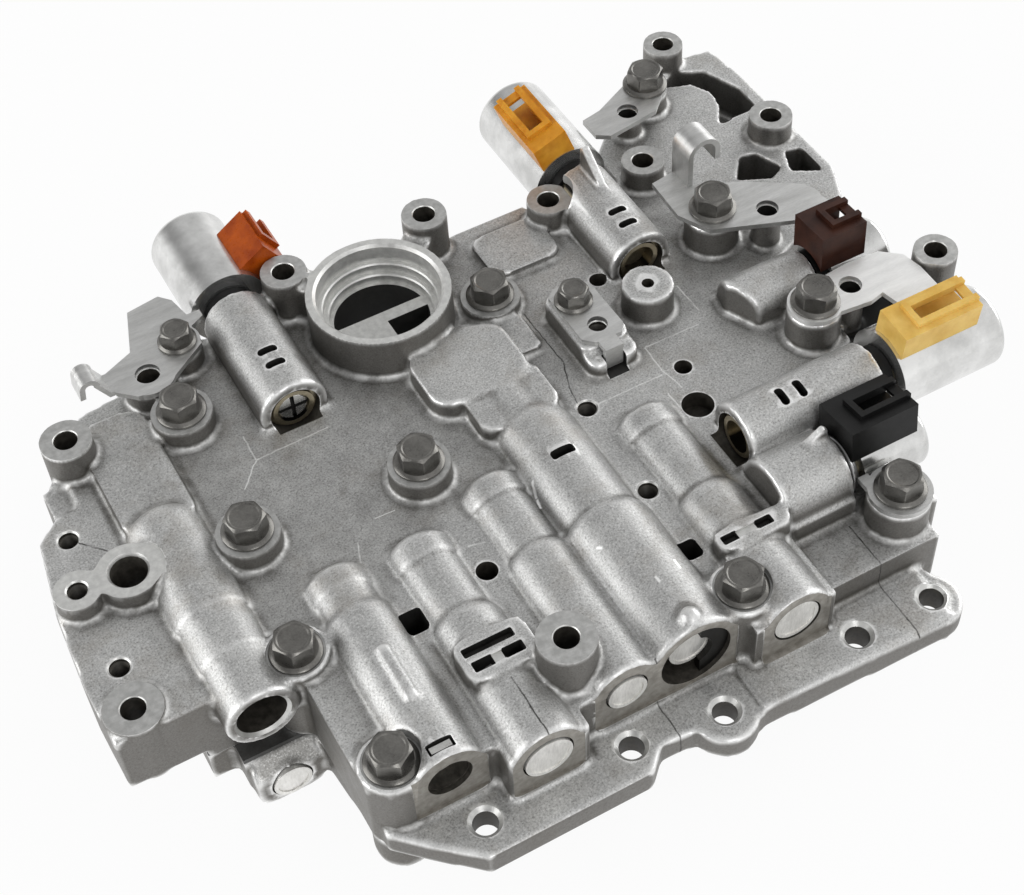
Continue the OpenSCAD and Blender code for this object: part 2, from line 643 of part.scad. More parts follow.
module upper_holes() {
    for (b = flange_bolts) {
        post(b[0], b[1], joint_z - eps, deck_z + b[2] + eps, bolt_r + shank_gap);
        post(b[0], b[1], deck_z + b[2], deck_z + b[2] + tool_h, bolt_flange_r + head_gap);
    }
    for (p = fix_posts) post(p[0], p[1], joint_z - eps, deck_z + p[2] + eps, fix_hole_r);
    for (f = flange_holes) post(f[0], f[1], joint_z - eps, flange_z + flange_step + eps, fix_hole_r);
    for (h = deck_holes) post(h[0], h[1], deck_z - h[3], deck_z + eps, h[2]);
    for (b = concat(small_bolts, bracket_bolts)) {
        post(b[0], b[1], b[2] - bracket_grip - thread_runout, b[2], small_bolt_r + fit);
    }
    post(left_pad[0], left_pad[1], joint_z - eps, low_pad_z + eps, fix_hole_r);
    post(clip_hole[0], clip_hole[1], deck_z - stud_hole_d, low_pad_z + eps, thread_r);
    post(stud[0], stud[1], deck_z + stud_h - stud_hole_d, deck_z + stud_h + eps, stud_hole_r);
    post(pad_bore[0], pad_bore[1], joint_z - eps, deck_z + pad_h + eps, pad_bore_r);
    post(pad_thread[0], pad_thread[1], deck_z - stud_hole_d, deck_z + pad_h + eps, thread_r);
    for (k = [0:2]) {
        post(ring_at[0], ring_at[1], ring_floor_z + (2 - k) * ring_step_h, deck_z + ring_h + eps,
            ring_bore_r - ring_steps[k]);
    }
}

// Openings in the floor of the ring port, each side of its bridge
module ring_floor_cuts() {
    r = floor_r;
    translate([ring_at[0], ring_at[1], joint_z - eps]) linear_extrude(ring_floor_z - joint_z + 2 * eps)
        difference() {
            circle(r);
            translate([-r - 1, bridge[0]]) square([2 * r + 2, bridge[1] - bridge[0]]);
            translate([-r - 1, -r - 1]) square([r + 2, r]);
        }
}

// Pockets of the right wing
module wing_pockets() {
    translate([0, 0, deck_z - pocket_d]) linear_extrude(pocket_d + eps)
        for (p = wing_pocket_plans) polygon(p);
}

module upper_casting() {
    color("darkgray") difference() {
        upper_solid();
        upper_bores();
        can_spaces();
        upper_slots();
        upper_holes();
        ring_floor_cuts();
        wing_pockets();
        block(wing_cut[0], wing_cut[1], joint_z - eps, wing_cut[2], wing_cut[3], joint_z + wing_relief);
        block(bore_cut[0], bore_cut[1], joint_z - eps, bore_cut[2], bore_cut[3], joint_z + wing_relief);
    }
}

// Holes that run through the joint: case bolts, ring port and the two plain bores at the left
module joint_holes() {
    for (i = through_posts) translate([fix_posts[i][0], fix_posts[i][1]]) circle(fix_hole_r);
    translate(ring_at) circle(floor_r);
    translate(pad_bore) circle(pad_bore_r);
    translate(left_pad) circle(fix_hole_r);
}

module separator_plate() {
    color("lightgray") translate([0, 0, lower_h]) linear_extrude(plate_t) difference() {
        polygon(lower_plan);
        for (b = flange_bolts) translate([b[0], b[1]]) circle(bolt_r + shank_gap);
        joint_holes();
    }
}

// Block of the lower casting that ends in a plugged bore, with a sloped brow
module low_bore_block() {
    w = low_block_half;
    difference() {
        translate([0, low_block_end, 0]) rotate([90, 0, 0]) linear_extrude(low_block_end - low_face)
            round_rect(low_x - w, low_block_z, low_x + w, lower_h, low_block_round);
        translate([low_x - w - 1, 0, 0]) rotate([90, 0, 90]) linear_extrude(2 * w + 2)
            polygon([[low_face - 1, lower_h - brow_drop], [brow_y, lower_h], [brow_y, lower_h + 1],
                [low_face - 1, lower_h + 1]]);
    }
}

module lower_casting() {
    color("gray") difference() {
        union() {
            translate([0, 0, foot_h]) linear_extrude(lower_h - foot_h) polygon(lower_plan);
            low_bore_block();
            for (b = flange_bolts) post(b[0], b[1], foot_h, lower_h, boss_r - 0.5);
            for (f = feet) post(f[0], f[1], 0, lower_h - 1, f[2]);
        }
        along_y(low_x, low_face - eps, low_z) cylinder(h = low_end - low_face + eps, r = low_bore_r);
        for (b = flange_bolts) {
            post(b[0], b[1], lower_h - flange_grip - thread_runout, lower_h + eps, bolt_r + fit);
        }
        translate([0, 0, -eps]) linear_extrude(lower_h + 2 * eps) joint_holes();
    }
}

// Flange bolt with a dished hexagon head, seated at z = 0
module hex_bolt(af, head_h, flange_r, shank_r, shank_l) {
    difference() {
        union() {
            cylinder(h = head_h + bolt_rim, r = af / sqrt(3), $fn = 6);
            cylinder(h = bolt_rim, r = flange_r);
            translate([0, 0, -shank_l]) cylinder(h = shank_l + 1, r = shank_r);
        }
        translate([0, 0, head_h + bolt_rim - dish_d])
            cylinder(h = 2 * dish_d, r1 = af / 2 - 2 * dish_d, r2 = af / 2 + dish_d);
    }
}

module flange_bolts() {
    color("dimgray") for (b = flange_bolts) {
        translate([b[0], b[1], deck_z + b[2]])
            hex_bolt(bolt_af, bolt_head_h, bolt_flange_r, bolt_r, upper_h + b[2] + plate_t + flange_grip);
    }
}

module small_bolts() {
    color("dimgray") for (b = small_bolts) {
        translate(b)
            hex_bolt(small_af, bolt_head_h - 1, bolt_flange_r - bolt_rim, small_bolt_r, bracket_grip);
    }
}

module bracket_bolts() {
    color("dimgray") for (b = bracket_bolts) {
        translate(b) hex_bolt(bolt_af, bolt_head_h, bolt_flange_r, small_bolt_r, bracket_grip);
    }
}

// Valve spool along local Z: lands of the bore's size on a slimmer stem
module spool(bore_r, l) {
    r = bore_r - spool_clear;
    cylinder(h = l, r = r - groove_d);
    cylinder(h = land_w, r = r);
    translate([0, 0, (l - land_w) / 2]) cylinder(h = land_w, r = r);
    translate([0, 0, l - land_w]) cylinder(h = land_w, r = r);
}

// Coil spring along local Z, one tube swept along a helix
module coil(mid_r, l, turns) {
    sides = 6;
    steps = 10 * turns;
    rise = l - wire_d;
    w = wire_d / 2;
    rings = [for (s = [0:steps], k = [0:sides - 1])
        let (a = 36 * s, b = 360 * k / sides, r = mid_r + w * cos(b))
        [r * cos(a), r * sin(a), w + rise * s / steps + w * sin(b)]];
    walls = [for (s = [0:steps - 1], k = [0:sides - 1])
        let (n = (k + 1) % sides, p = s * sides, q = p + sides) [p + k, q + k, q + n, p + n]];
    ends = [[for (k = [0:sides - 1]) k], [for (k = [0:sides - 1]) (steps + 1) * sides - 1 - k]];
    polyhedron(rings, concat(walls, ends));
}

// Plug along local Z with a shallow dish in front and the groove of its keeper
module plug(bore_r, l, groove_at) {
    g = keeper_t + 2 * groove_play;
    difference() {
        cylinder(h = l, r = bore_r - fit);
        translate([0, 0, -eps]) cylinder(h = plug_dish + eps, r = bore_r - plug_rim);
        if (groove_at > 0) translate([0, 0, groove_at - g / 2]) difference() {
            cylinder(h = g, r = bore_r + 1);
            translate([0, 0, -eps]) cylinder(h = g + 2 * eps, r = bore_r - plug_groove_d);
        }
    }
}

function plug_start(i) = valve_face[i] + plug_inset[i];
function spool_start(i) = plug_end[i] + rest_gap;
function bore_end(i) = valve_end[i] - end_wall;
function spool_l(i) = bore_end(i) - spring_l - spool_start(i);

module upper_spool(i) {
    color("silver") along_y(valve_x[i], spool_start(i), bore_z) spool(valve_bore[i], spool_l(i));
}

module upper_spring(i) {
    color("slategray") along_y(valve_x[i], bore_end(i) - spring_l + fit, bore_z)
        coil(valve_bore[i] - wire_d - spring_gap, spring_l - 2 * fit, spring_turns);
}

module upper_plug(i) {
    groove = i == 1 || i == 4 ? keeper_y[i] - plug_start(i) : 0;
    color("gainsboro") along_y(valve_x[i], plug_start(i), bore_z)
        plug(valve_bore[i], plug_end[i] - plug_start(i), groove);
}

module spool_1() { upper_spool(0); }
module spool_2() { upper_spool(1); }
module spool_3() { upper_spool(2); }
module spool_4() { upper_spool(3); }
module spool_5() { upper_spool(4); }
module spool_6() {
    l = low_end - spring_l - low_plug_end - rest_gap;
    color("silver") along_y(low_x, low_plug_end + rest_gap, low_z) spool(low_bore_r, l);
}

module spring_1() { upper_spring(0); }
module spring_2() { upper_spring(1); }
module spring_3() { upper_spring(2); }
module spring_4() { upper_spring(3); }
module spring_5() { upper_spring(4); }
module spring_6() {
    color("slategray") along_y(low_x, low_end - spring_l + fit, low_z)
        coil(low_bore_r - wire_d - spring_gap, spring_l - 2 * fit, spring_turns);
}

module plug_1() { upper_plug(0); }
module plug_2() { upper_plug(1); }
module plug_3() { upper_plug(2); }
module plug_4() { upper_plug(3); }
module plug_5() { upper_plug(4); }
module plug_6() {
    color("gainsboro") along_y(low_x, low_face + low_plug_inset, low_z)
        plug(low_bore_r, low_plug_end - low_face - low_plug_inset, 0);
}

// Plate that stops the first plug from the front, seen in its slot
module keeper_1() {
    color("silver") block(keeper_1_x[0], keeper_y[0] - keeper_t / 2, bore_z + keeper_sink, keeper_1_x[1],
        keeper_y[0] + keeper_t / 2, bore_z + hump_r[0] - keeper_sink);
}

// Fork over the groove of the second plug
module keeper_2() {
    color("silver") difference() {
        block(keeper_2_x[0], keeper_y[1] - keeper_t / 2, bore_z + fork_gap, keeper_2_x[1],
            keeper_y[1] + keeper_t / 2, bore_z + wide_bore_r + bore_wall - keeper_sink);
        along_y(valve_x[1], keeper_y[1] - keeper_t, bore_z)
            cylinder(h = 2 * keeper_t, r = wide_bore_r - plug_groove_d + fork_gap);
    }
}

// Clip across the counterbore in front of the main plug
module keeper_4() {
    c = counterbore_r;
    color("dimgray") along_y(valve_x[3], keeper_y[3], bore_z) linear_extrude(keeper_t) difference() {
        circle(c - fit);
        circle(main_bore_r - clip_overlap);
        translate([-c - 1, -c - 1]) square([c + 1 + clip_cut, 2 * c + 2]);
    }
}

// Fork put in from the joint face, its legs beside the groove of the last plug
module keeper_5() {
    top = bore_z + wide_bore_r + bore_wall - keeper_sink;
    x = valve_x[4];
    inner = fork_leg - fork_half;
    color("silver") difference() {
        block(x - fork_leg - fork_half, keeper_y[4] - keeper_t / 2, joint_z, x + fork_leg + fork_half,
            keeper_y[4] + keeper_t / 2, top);
        block(x - inner, keeper_y[4] - keeper_t, joint_z + fork_base, x + inner, keeper_y[4] + keeper_t,
            top + 1);
        along_y(x, keeper_y[4] - keeper_t, bore_z)
            cylinder(h = 2 * keeper_t, r = wide_bore_r - plug_groove_d + fork_gap);
    }
}

// Solenoid nose: a turned body with a stepped front and a slimmer stem into the can
module nose(i) {
    l = sol_mouth[i] + collar_l - sol_nose_front[i];
    color("darkkhaki") on_solenoid(i, sol_nose_front[i]) difference() {
        union() {
            cylinder(h = l, r = stem_r);
            translate([0, 0, nose_step]) cylinder(h = l - collar_l - 2 * nose_step, r = nose_r);
        }
        if (sol_open[i]) translate([0, 0, -eps]) cylinder(h = nose_recess + eps, r = nose_bore_r);
    }
}

module can(i) {
    color("whitesmoke") on_solenoid(i, sol_mouth[i] + collar_l)
        rotate_extrude() round_end(sol_can_r[i], sol_can_l[i], can_round);
}

// Puts a child on the can of solenoid i, with local Y away from the axis and local Z along it
module on_connector(i) {
    on_solenoid(i, sol_mouth[i] + collar_l + conn_start[i])
        rotate([0, 0, (i < 2 ? 180 : 90) + conn_turn[i]]) translate([0, sol_can_r[i], 0]) children();
}

// Moulded connector on a can: a box with a socket open at the far end, a latch window and two rails on top
module connector(i) {
    l = conn_l[i];
    w = conn_ws[i];
    h = conn_rises[i];
    wall = conn_wall;
    difference() {
        on_connector(i) difference() {
            union() {
                translate([-w / 2, -conn_sink, 0]) cube([w, h + conn_sink, l]);
                for (x = [-latch_half - rail_w, latch_half]) {
                    translate([x, h - 1, latch_start - rail_w])
                        cube([rail_w, rail_h + 1, l - latch_start + rail_w]);
                }
                translate([-latch_half - rail_w, h - 1, latch_start - rail_w])
                    cube([2 * (latch_half + rail_w), rail_h + 1, rail_w]);
            }
            translate([-w / 2 + wall, wall, conn_back]) cube([w - 2 * wall, h - 2 * wall, l]);
            translate([-latch_half, h - 2 * wall, latch_start])
                cube([2 * latch_half, 4 * wall, l - latch_start - latch_land]);
        }
        on_solenoid(i, sol_mouth[i] + collar_l + conn_start[i] - eps)
            cylinder(h = l + 2 * eps, r = sol_can_r[i] + fit);
    }
}

// Two blade terminals inside a connector's socket
module blades(i) {
    on_connector(i) for (side = [-1, 1]) {
        translate([side * blade_spread - blade_w / 2, (conn_rises[i] - blade_t) / 2, conn_back])
            cube([blade_w, blade_t, blade_l]);
    }
}

module terminals() {
    color("gold") for (i = [0:4]) blades(i);
}

module seal_rings() {
    color("black") for (i = [0:3]) on_solenoid(i, sol_mouth[i] + collar_gap) difference() {
        cylinder(h = collar_l - 2 * collar_gap, r = collar_r);
        translate([0, 0, -eps]) cylinder(h = collar_l, r = stem_r + fit);
    }
}

// Round-wire ring in the groove of the front solenoid
module spring_ring() {
    color("silver") on_solenoid(4, sol_mouth[4] + collar_l / 2)
        rotate_extrude() translate([stem_r + ring_wire_r + ring_gap, 0]) circle(ring_wire_r);
}

// Slotted screw in the nose of the left solenoid
module adjuster_screw() {
    color("silver") on_solenoid(0, sol_nose_front[0] + screw_inset) difference() {
        cylinder(h = nose_recess - screw_inset - fit, r = nose_bore_r - screw_gap);
        translate([-nose_r, -screw_slot / 2, -eps]) cube([2 * nose_r, screw_slot, screw_slot + eps]);
    }
}

// Sheet of a bracket: an outline with a round end about its bolt, and one more hole
module sheet(z, outline, bolt, end_r, hole, hole_r) {
    at = [bolt[0], bolt[1]];
    translate([0, 0, z]) linear_extrude(sheet_t) difference() {
        union() {
            polygon(outline);
            translate(at) circle(end_r);
            children();
        }
        translate(at) circle(small_bolt_r + shank_gap);
        translate(hole) circle(hole_r);
    }
}

// Left bracket: plate with a finger into the solenoid's groove and a hooked spring tab
module left_bracket() {
    color("silver") {
        sheet(low_pad_z, left_outline, small_bolts[0], small_boss_r, left_pad, fix_hole_r + shank_gap)
            translate(left_pad) circle(left_end_r);
        hook_tab();
    }
}

// Spring tab that runs up, over and down at the left end of the plate
module hook_tab() {
    t = sheet_t;
    x = -hook_lean;
    at = [hook_at[0], hook_at[1], low_pad_z];
    translate(at) rotate([90, 0, 0]) mirror([0, 0, 1]) linear_extrude(hook_w) {
        polygon([[eps, 0], [eps, t], [-1, t], [x, hook_h], [x - t, hook_h], [-t, 0]]);
        translate([x - hook_r + 0.2, hook_h]) difference() {
            circle(hook_r);
            circle(hook_r - t);
            translate([-hook_r - 1, -hook_r - 1]) square([2 * hook_r + 2, hook_r + 1]);
        }
        polygon([[x - 2 * hook_r + 0.2, hook_h], [x - 2 * hook_r - 0.2, hook_h - hook_r],
            [x - 2 * hook_r + t - 0.2, hook_h - hook_r], [x - 2 * hook_r + t + 0.2, hook_h]]);
    }
}

module rear_bracket() {
    color("silver")
        sheet(low_pad_z, rear_outline, bracket_bolts[1], bracket_boss_r[1], rear_hole, fix_hole_r);
}

// Plate with a loop rolled up from its left side
module loop_bracket() {
    t = sheet_t;
    color("silver") {
        sheet(high_pad_z, loop_outline, bracket_bolts[0], bracket_boss_r[0], loop_hole, fix_hole_r)
            translate(loop_end) circle(loop_end_r);
        translate([loop_at[0], loop_at[1], high_pad_z]) rotate([90, 0, 0]) linear_extrude(loop_w) {
            square([t, loop_rise]);
            translate([loop_r, loop_rise]) difference() {
                circle(loop_r);
                circle(loop_r - t);
                translate([-loop_r - 1, -loop_r - 1]) square([2 * loop_r + 2, loop_r + 1]);
            }
            translate([2 * loop_r - t, loop_rise - loop_drop]) square([t, loop_drop]);
        }
    }
}

module right_bracket() {
    color("silver")
        sheet(high_pad_z, right_outline, bracket_bolts[2], bracket_boss_r[2], right_hole, fix_hole_r);
}

module front_bracket() {
    b = bracket_bolts[3];
    color("silver") sheet(b[2] - sheet_t, front_outline, b, bracket_boss_r[3], [b[0], b[1]], small_bolt_r);
}

// Clip plate with a tab bent down into the slot of its pad
module clip() {
    c = clip_tab;
    color("silver") {
        sheet(low_pad_z, clip_outline, small_bolts[1], small_bolt_r + 1, clip_hole, thread_r + shank_gap);
        block(c[0], c[1], low_pad_z - clip_tab_h + sheet_t, c[2], c[3], low_pad_z + sheet_t);
    }
}

upper_casting();
separator_plate();
lower_casting();
flange_bolts();
small_bolts();
bracket_bolts();
spool_1();
spool_2();
spool_3();
spool_4();
spool_5();
spool_6();
spring_1();
spring_2();
spring_3();
spring_4();
spring_5();
spring_6();
plug_1();
plug_2();
plug_3();
plug_4();
plug_5();
plug_6();
keeper_1();
keeper_2();
keeper_4();
keeper_5();
nose(0);  // nose_1
nose(1);  // nose_2
nose(2);  // nose_3
nose(3);  // nose_4
nose(4);  // nose_5
can(0);  // can_1
can(1);  // can_2
can(2);  // can_3
can(3);  // can_4
can(4);  // can_5
color("chocolate") connector(0);  // connector_1
color("orange") connector(1);  // connector_2
color("saddlebrown") connector(2);  // connector_3
color("khaki") connector(3);  // connector_4
color("darkslategray") connector(4);  // connector_5
terminals();
seal_rings();
spring_ring();
adjuster_screw();
left_bracket();
rear_bracket();
loop_bracket();
right_bracket();
front_bracket();
clip();
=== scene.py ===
import math

import bmesh
import bpy
import numpy as np
from mathutils import Matrix, Vector


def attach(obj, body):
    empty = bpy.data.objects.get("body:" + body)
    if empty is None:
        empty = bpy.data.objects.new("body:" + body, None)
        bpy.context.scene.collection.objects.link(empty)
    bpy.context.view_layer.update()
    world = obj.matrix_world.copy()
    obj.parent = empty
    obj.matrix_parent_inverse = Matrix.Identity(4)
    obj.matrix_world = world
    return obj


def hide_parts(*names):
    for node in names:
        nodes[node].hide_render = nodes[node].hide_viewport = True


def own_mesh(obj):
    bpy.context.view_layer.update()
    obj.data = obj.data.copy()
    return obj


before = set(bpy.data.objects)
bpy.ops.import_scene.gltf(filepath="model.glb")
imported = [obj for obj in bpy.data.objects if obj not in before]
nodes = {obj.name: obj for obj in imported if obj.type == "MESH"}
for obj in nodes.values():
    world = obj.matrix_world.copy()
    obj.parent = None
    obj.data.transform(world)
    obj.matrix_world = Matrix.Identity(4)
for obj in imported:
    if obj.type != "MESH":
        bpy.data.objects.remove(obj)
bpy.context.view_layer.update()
scene = bpy.context.scene

MM = 0.001
# All sizes below are in millimetres, as the part's source has them.
# Heights: joint face, top of the flange, axes of the valve bores, deck, pads of the brackets; thickness of a sheet.
JOINT, FLANGE, BORE, DECK = 18, 26, 38, 42
LOW_PAD, HIGH_PAD, SHEET_T = DECK + 7, DECK + 11, 1.6

# Flange bolts: place, seat above the deck.
FLANGE_BOLTS = [(-46.4, 58.1, 6.5), (-47.4, 10.7, 6.5), (1.5, 8.2, 6.5), (-51.5, -26.9, 2), (-44.8, -66.7, 1.5),
                (48.4, 54.9, 4), (53.7, -68.3, 4)]
# Small bolts and bracket bolts: place, height of the seat.
SMALL_BOLTS = [(-37.8, 81, LOW_PAD + SHEET_T), (65.6, 36.4, LOW_PAD + SHEET_T)]
BRACKET_BOLTS = [(117.5, 44.5, HIGH_PAD + SHEET_T), (132.5, 106.5, LOW_PAD + SHEET_T),
                 (121, -2.5, HIGH_PAD + SHEET_T), (105.5, -64, DECK + 4 + SHEET_T)]
# Kinds of bolts: width across the flats, height of the head, radius of its flange, radius of the shank.
FLANGE_BOLT, BRACKET_BOLT, SMALL_BOLT = (10, 5, 7, 3), (10, 5, 7, 2.5), (8, 4, 5.6, 2.5)
FLANGE_SHANK_END, SHORT_SHANK = 6.5, 13
BOSS_R, BOLT_HOLE = 8.7, 3.3
# Posts: place, height above the deck, radius.
POSTS = [(-78.2, 61.7, 10, 7.2), (-93, -21, 1.5, 7.8), (-2.1, 85.5, 14, 6.8), (43.4, 85.5, 14, 6.8),
         (80.7, 77.4, 8, 6.6), (148.6, 121.5, 8, 6.4), (158.5, 74.3, 8, 6.8), (113.8, 77.4, 8, 6.6),
         (161, -4.2, 14, 6.4), (5, -64.5, 14, 7.8)]
# Holes: of the flange (place, top), plain (place, radius, depth), tapped (place, top, depth).
FLANGE_STEP = FLANGE + 1.2
FLANGE_HOLES = [(-29.3, -83.2, FLANGE), (12.2, -83.2, FLANGE), (37.7, -86.5, FLANGE),
                (79.1, -85.4, FLANGE_STEP), (102.7, -85.4, FLANGE_STEP)]
PLAIN_HOLES = [(2, -28.2, 3, 16), (83, 5.4, 2.6, 14), (79, -8.5, 4.6, 6), (80.1, 47.3, 2.6, 14)]
TAPPED_HOLES = [(-88.7, 37.5, DECK, 14), (-91.5, -7, DECK, 14), (52.2, 6.2, DECK, 12), (51.5, -26.9, DECK, 12),
                (-92.7, 16.2, DECK + 6, 14), (66.9, 25.2, LOW_PAD, 15)]
TAP = 2.6
# Valve bores along Y: x, front face, inner end, radius. The main valve has a counterbore.
VALVES = [(-33.5, -74.7, -14, 5.6), (-10.3, -81.6, -16, 6.6), (15.5, -75.5, -8, 5.6), (35.7, -75.5, 6, 6.1),
          (63.5, -79.5, -9, 6.6)]
MAIN = 3
COUNTERBORE, COUNTERBORE_END = 10.2, -66.5
# The open bore, and the bore in the lower casting with the height of its axis.
OPEN_BORE = (-65.5, -36.2, 27, 6.8)
LOW_BORE = (-63, -38.5, 14, 5.4, 8)
# Return springs: ends of the bores that carry them.
SPRING_ENDS = [*(end for x, face, end, r in VALVES), LOW_BORE[2]]
# Milled front faces of the humps: x, face, half width, radius.
FRONT_SIZES = [(9, 9), (9, 9), (8, 8.6), (11, 11.4), (9, 9)]
FRONTS = [(x, face, half, r) for (x, face, _, _), (half, r) in zip(VALVES, FRONT_SIZES)]
# Ring port: centre, outer radius, top, floor, radius of the openings in the floor.
RING, RING_R, RING_TOP, RING_FLOOR, RING_HOLE = (18, 64.4), 21, DECK + 14, DECK + 2, 14
# How far the bridge over the openings reaches behind, before and beside the centre.
BRIDGE = (2.5, 1.5, 1)
# The pad at the left with its bore and thread, the pad under the left bracket, the stud boss.
PAD_BORE, PAD_THREAD, PAD_TOP = (-79, 15.4), (-92.7, 16.2), DECK + 6
LEFT_PAD, STUD, STUD_TOP = (-49.7, 73.9), (86.6, 30.3), DECK + 10
# Slots cut straight down: corners in plan, floor, top of the metal that they go through.
SLOT_TOP = DECK + 7
SLOTS = [(-17.4, -53.4, -3.2, -50.6, BORE, SLOT_TOP), (-16.9, -58.3, -11.2, -55.1, BORE, SLOT_TOP),
         (-8.4, -58.3, -2.7, -55.1, BORE, SLOT_TOP), (55.9, -56.9, 60.7, -54.1, BORE - 1, SLOT_TOP),
         (66.3, -56.9, 71.1, -54.1, BORE - 1, SLOT_TOP), (-24.6, -36.5, -18.4, -29, DECK - 14, DECK),
         (47.6, -52.4, 53.2, -46.2, DECK - 14, DECK)]
# The last two go down from the deck.
DECK_SLOTS = SLOTS[5:]
KEEPER_SLOT = (-37, -72.6, -30, -69.4)
HUMP_WINDOW = (32.2, -10.8, 39.2, -7.8)
CLIP_SLOT = (63.2, 12, 69.6, 17.2)
# Open solenoid noses: axis point, direction, front and mouth along it, places of the two windows.
NOSES = [(-18.5, "y", 45.5, 86, (54.7, 60.2)), (92.8, "y", 45, 80.5, (51.4, 57.4)),
         (-26, "x", 80, 122.3, (93.1, 98.8))]
NOSE_R, HOUSING_R, SOL_Z = 7.45, 10.1, DECK + 3.5
# Tapped bosses under the plain holes of the brackets: place and top.
BRACKET_HOLES = [(121.3, 98.5, LOW_PAD), (131, 36, HIGH_PAD), (133.3, -2, HIGH_PAD)]
# Swollen rear ends of the slim humps: axis, end, radius of the hump.
SWELLS = [(-33.5, -8, 9), (-10.3, -10, 9.2), (15.5, -2, 9), (63.5, -3, 9.2)]
# The shelf under the right bracket, set where there is only a dark gap, and the box around it that is painted black
# as shade.
SHELF = (122, -11.5, DECK - 9, 158, 3.5, DECK - 3)
SHADOW_BOX = ((123, -13, DECK - 12), (160, 4.5, DECK - 1.5))
# Dark parting lines of the die, pale raised ones, and bright nicks, seen from above: start and end.
SEAMS = [((55.2, 47.3), (55.5, 24.7)), ((55.5, 24.7), (52.1, 14.9)), ((52.1, 14.9), (51.1, 8.2)),
         ((-87.4, 36.9), (-80.4, 29)), ((-9.5, -62.4), (-9.4, -81.5)), ((24.5, -74), (24.5, -90)),
         ((93.5, -60), (93.5, -93))]
RIDGES = [((78.1, 17.7), (96.4, 17.5)), ((78.1, 17.7), (77.8, 7.7)), ((77.8, 7.7), (79.1, -0.6)),
          ((55.5, 6.4), (77, 6.4)), ((74.6, 0), (75.1, -11)), ((98.9, 33.8), (99.2, 21.8)),
          ((-33.8, 46.9), (-34, 37.3)), ((-34, 37.3), (-11.7, 37.6)), ((-34, 37.3), (-40.9, 29.3)),
          ((-22.4, -2.1), (-24.8, -9.3)), ((-15.2, 2.4), (-9, 2.3)), ((1.7, -18.4), (6.5, -19.3))]
NICKS = [((26.1, -9.6), (24.7, -14.3)), ((24.7, -14.3), (24.2, -17.9)), ((42.6, -53.7), (42.6, -57.3)),
         ((35, -56.7), (35.3, -59.1)), ((28, -40), (29.2, -41.5))]


# Meshes: closed cutters and fillers, in millimetres

def new_object(name, mesh):
    """An object in the scene for a mesh."""
    obj = bpy.data.objects.new(name, mesh)
    scene.collection.objects.link(obj)
    return obj


AXES = {"x": Matrix(((0, 0, 1), (1, 0, 0), (0, 1, 0))), "y": Matrix(((0, 1, 0), (0, 0, 1), (1, 0, 0))),
        "z": Matrix.Identity(3)}


def turned(bm, base, axis, profile, seg=40):
    """A closed turned solid about an axis through base; profile: (place along the axis, radius), end to end."""
    turn = AXES[axis]
    base = Vector(base)
    rings = []
    for s, r in profile:
        rings.append([bm.verts.new((base + turn @ Vector((r * math.cos(a), r * math.sin(a), s))) * MM)
                      for a in (2 * math.pi * k / seg for k in range(seg))])
    for low, high in zip(rings, rings[1:]):
        for k in range(seg):
            n = (k + 1) % seg
            bm.faces.new((low[k], low[n], high[n], high[k]))
    bm.faces.new(rings[0][::-1])
    bm.faces.new(rings[-1])


def upright(bm, x, y, z0, z1, r):
    """An upright cylinder."""
    turned(bm, (x, y, 0), "z", [(z0, r), (z1, r)])


def prism(bm, points, z0, z1):
    """A closed prism over a plan given counter-clockwise."""
    low = [bm.verts.new((x * MM, y * MM, z0 * MM)) for x, y in points]
    high = [bm.verts.new((x * MM, y * MM, z1 * MM)) for x, y in points]
    n = len(points)
    for k in range(n):
        m = (k + 1) % n
        bm.faces.new((low[k], low[m], high[m], high[k]))
    bm.faces.new(low[::-1])
    bm.faces.new(high)


def round_plan(x0, y0, x1, y1, r, steps=6):
    """Plan of a rectangle with round corners."""
    points = []
    corners = (x1 - r, y1 - r, 0), (x0 + r, y1 - r, 90), (x0 + r, y0 + r, 180), (x1 - r, y0 + r, 270)
    for cx, cy, start in corners:
        for k in range(steps + 1):
            a = math.radians(start + 90 * k / steps)
            points.append((cx + r * math.cos(a), cy + r * math.sin(a)))
    return points


def arc_plan(cx, cy, r, a0, a1, steps=24):
    """Points on an arc, angles in degrees."""
    turns = (math.radians(a0 + (a1 - a0) * k / steps) for k in range(steps + 1))
    return [(cx + r * math.cos(a), cy + r * math.sin(a)) for a in turns]


def brick(bm, x0, y0, z0, x1, y1, z1):
    """A box between two corners."""
    prism(bm, [(x0, y0), (x1, y0), (x1, y1), (x0, y1)], z0, z1)


def to_mesh(bm, name):
    """Turns a bmesh into a mesh and frees it."""
    mesh = bpy.data.meshes.new(name)
    bm.to_mesh(mesh)
    bm.free()
    return mesh


def settle(obj):
    """Bakes the modifiers of an object into its mesh."""
    dg = bpy.context.evaluated_depsgraph_get()
    mesh = bpy.data.meshes.new_from_object(obj.evaluated_get(dg))
    old = obj.data
    obj.modifiers.clear()
    obj.data = mesh
    bpy.data.meshes.remove(old)


CLEAR = 1e-4


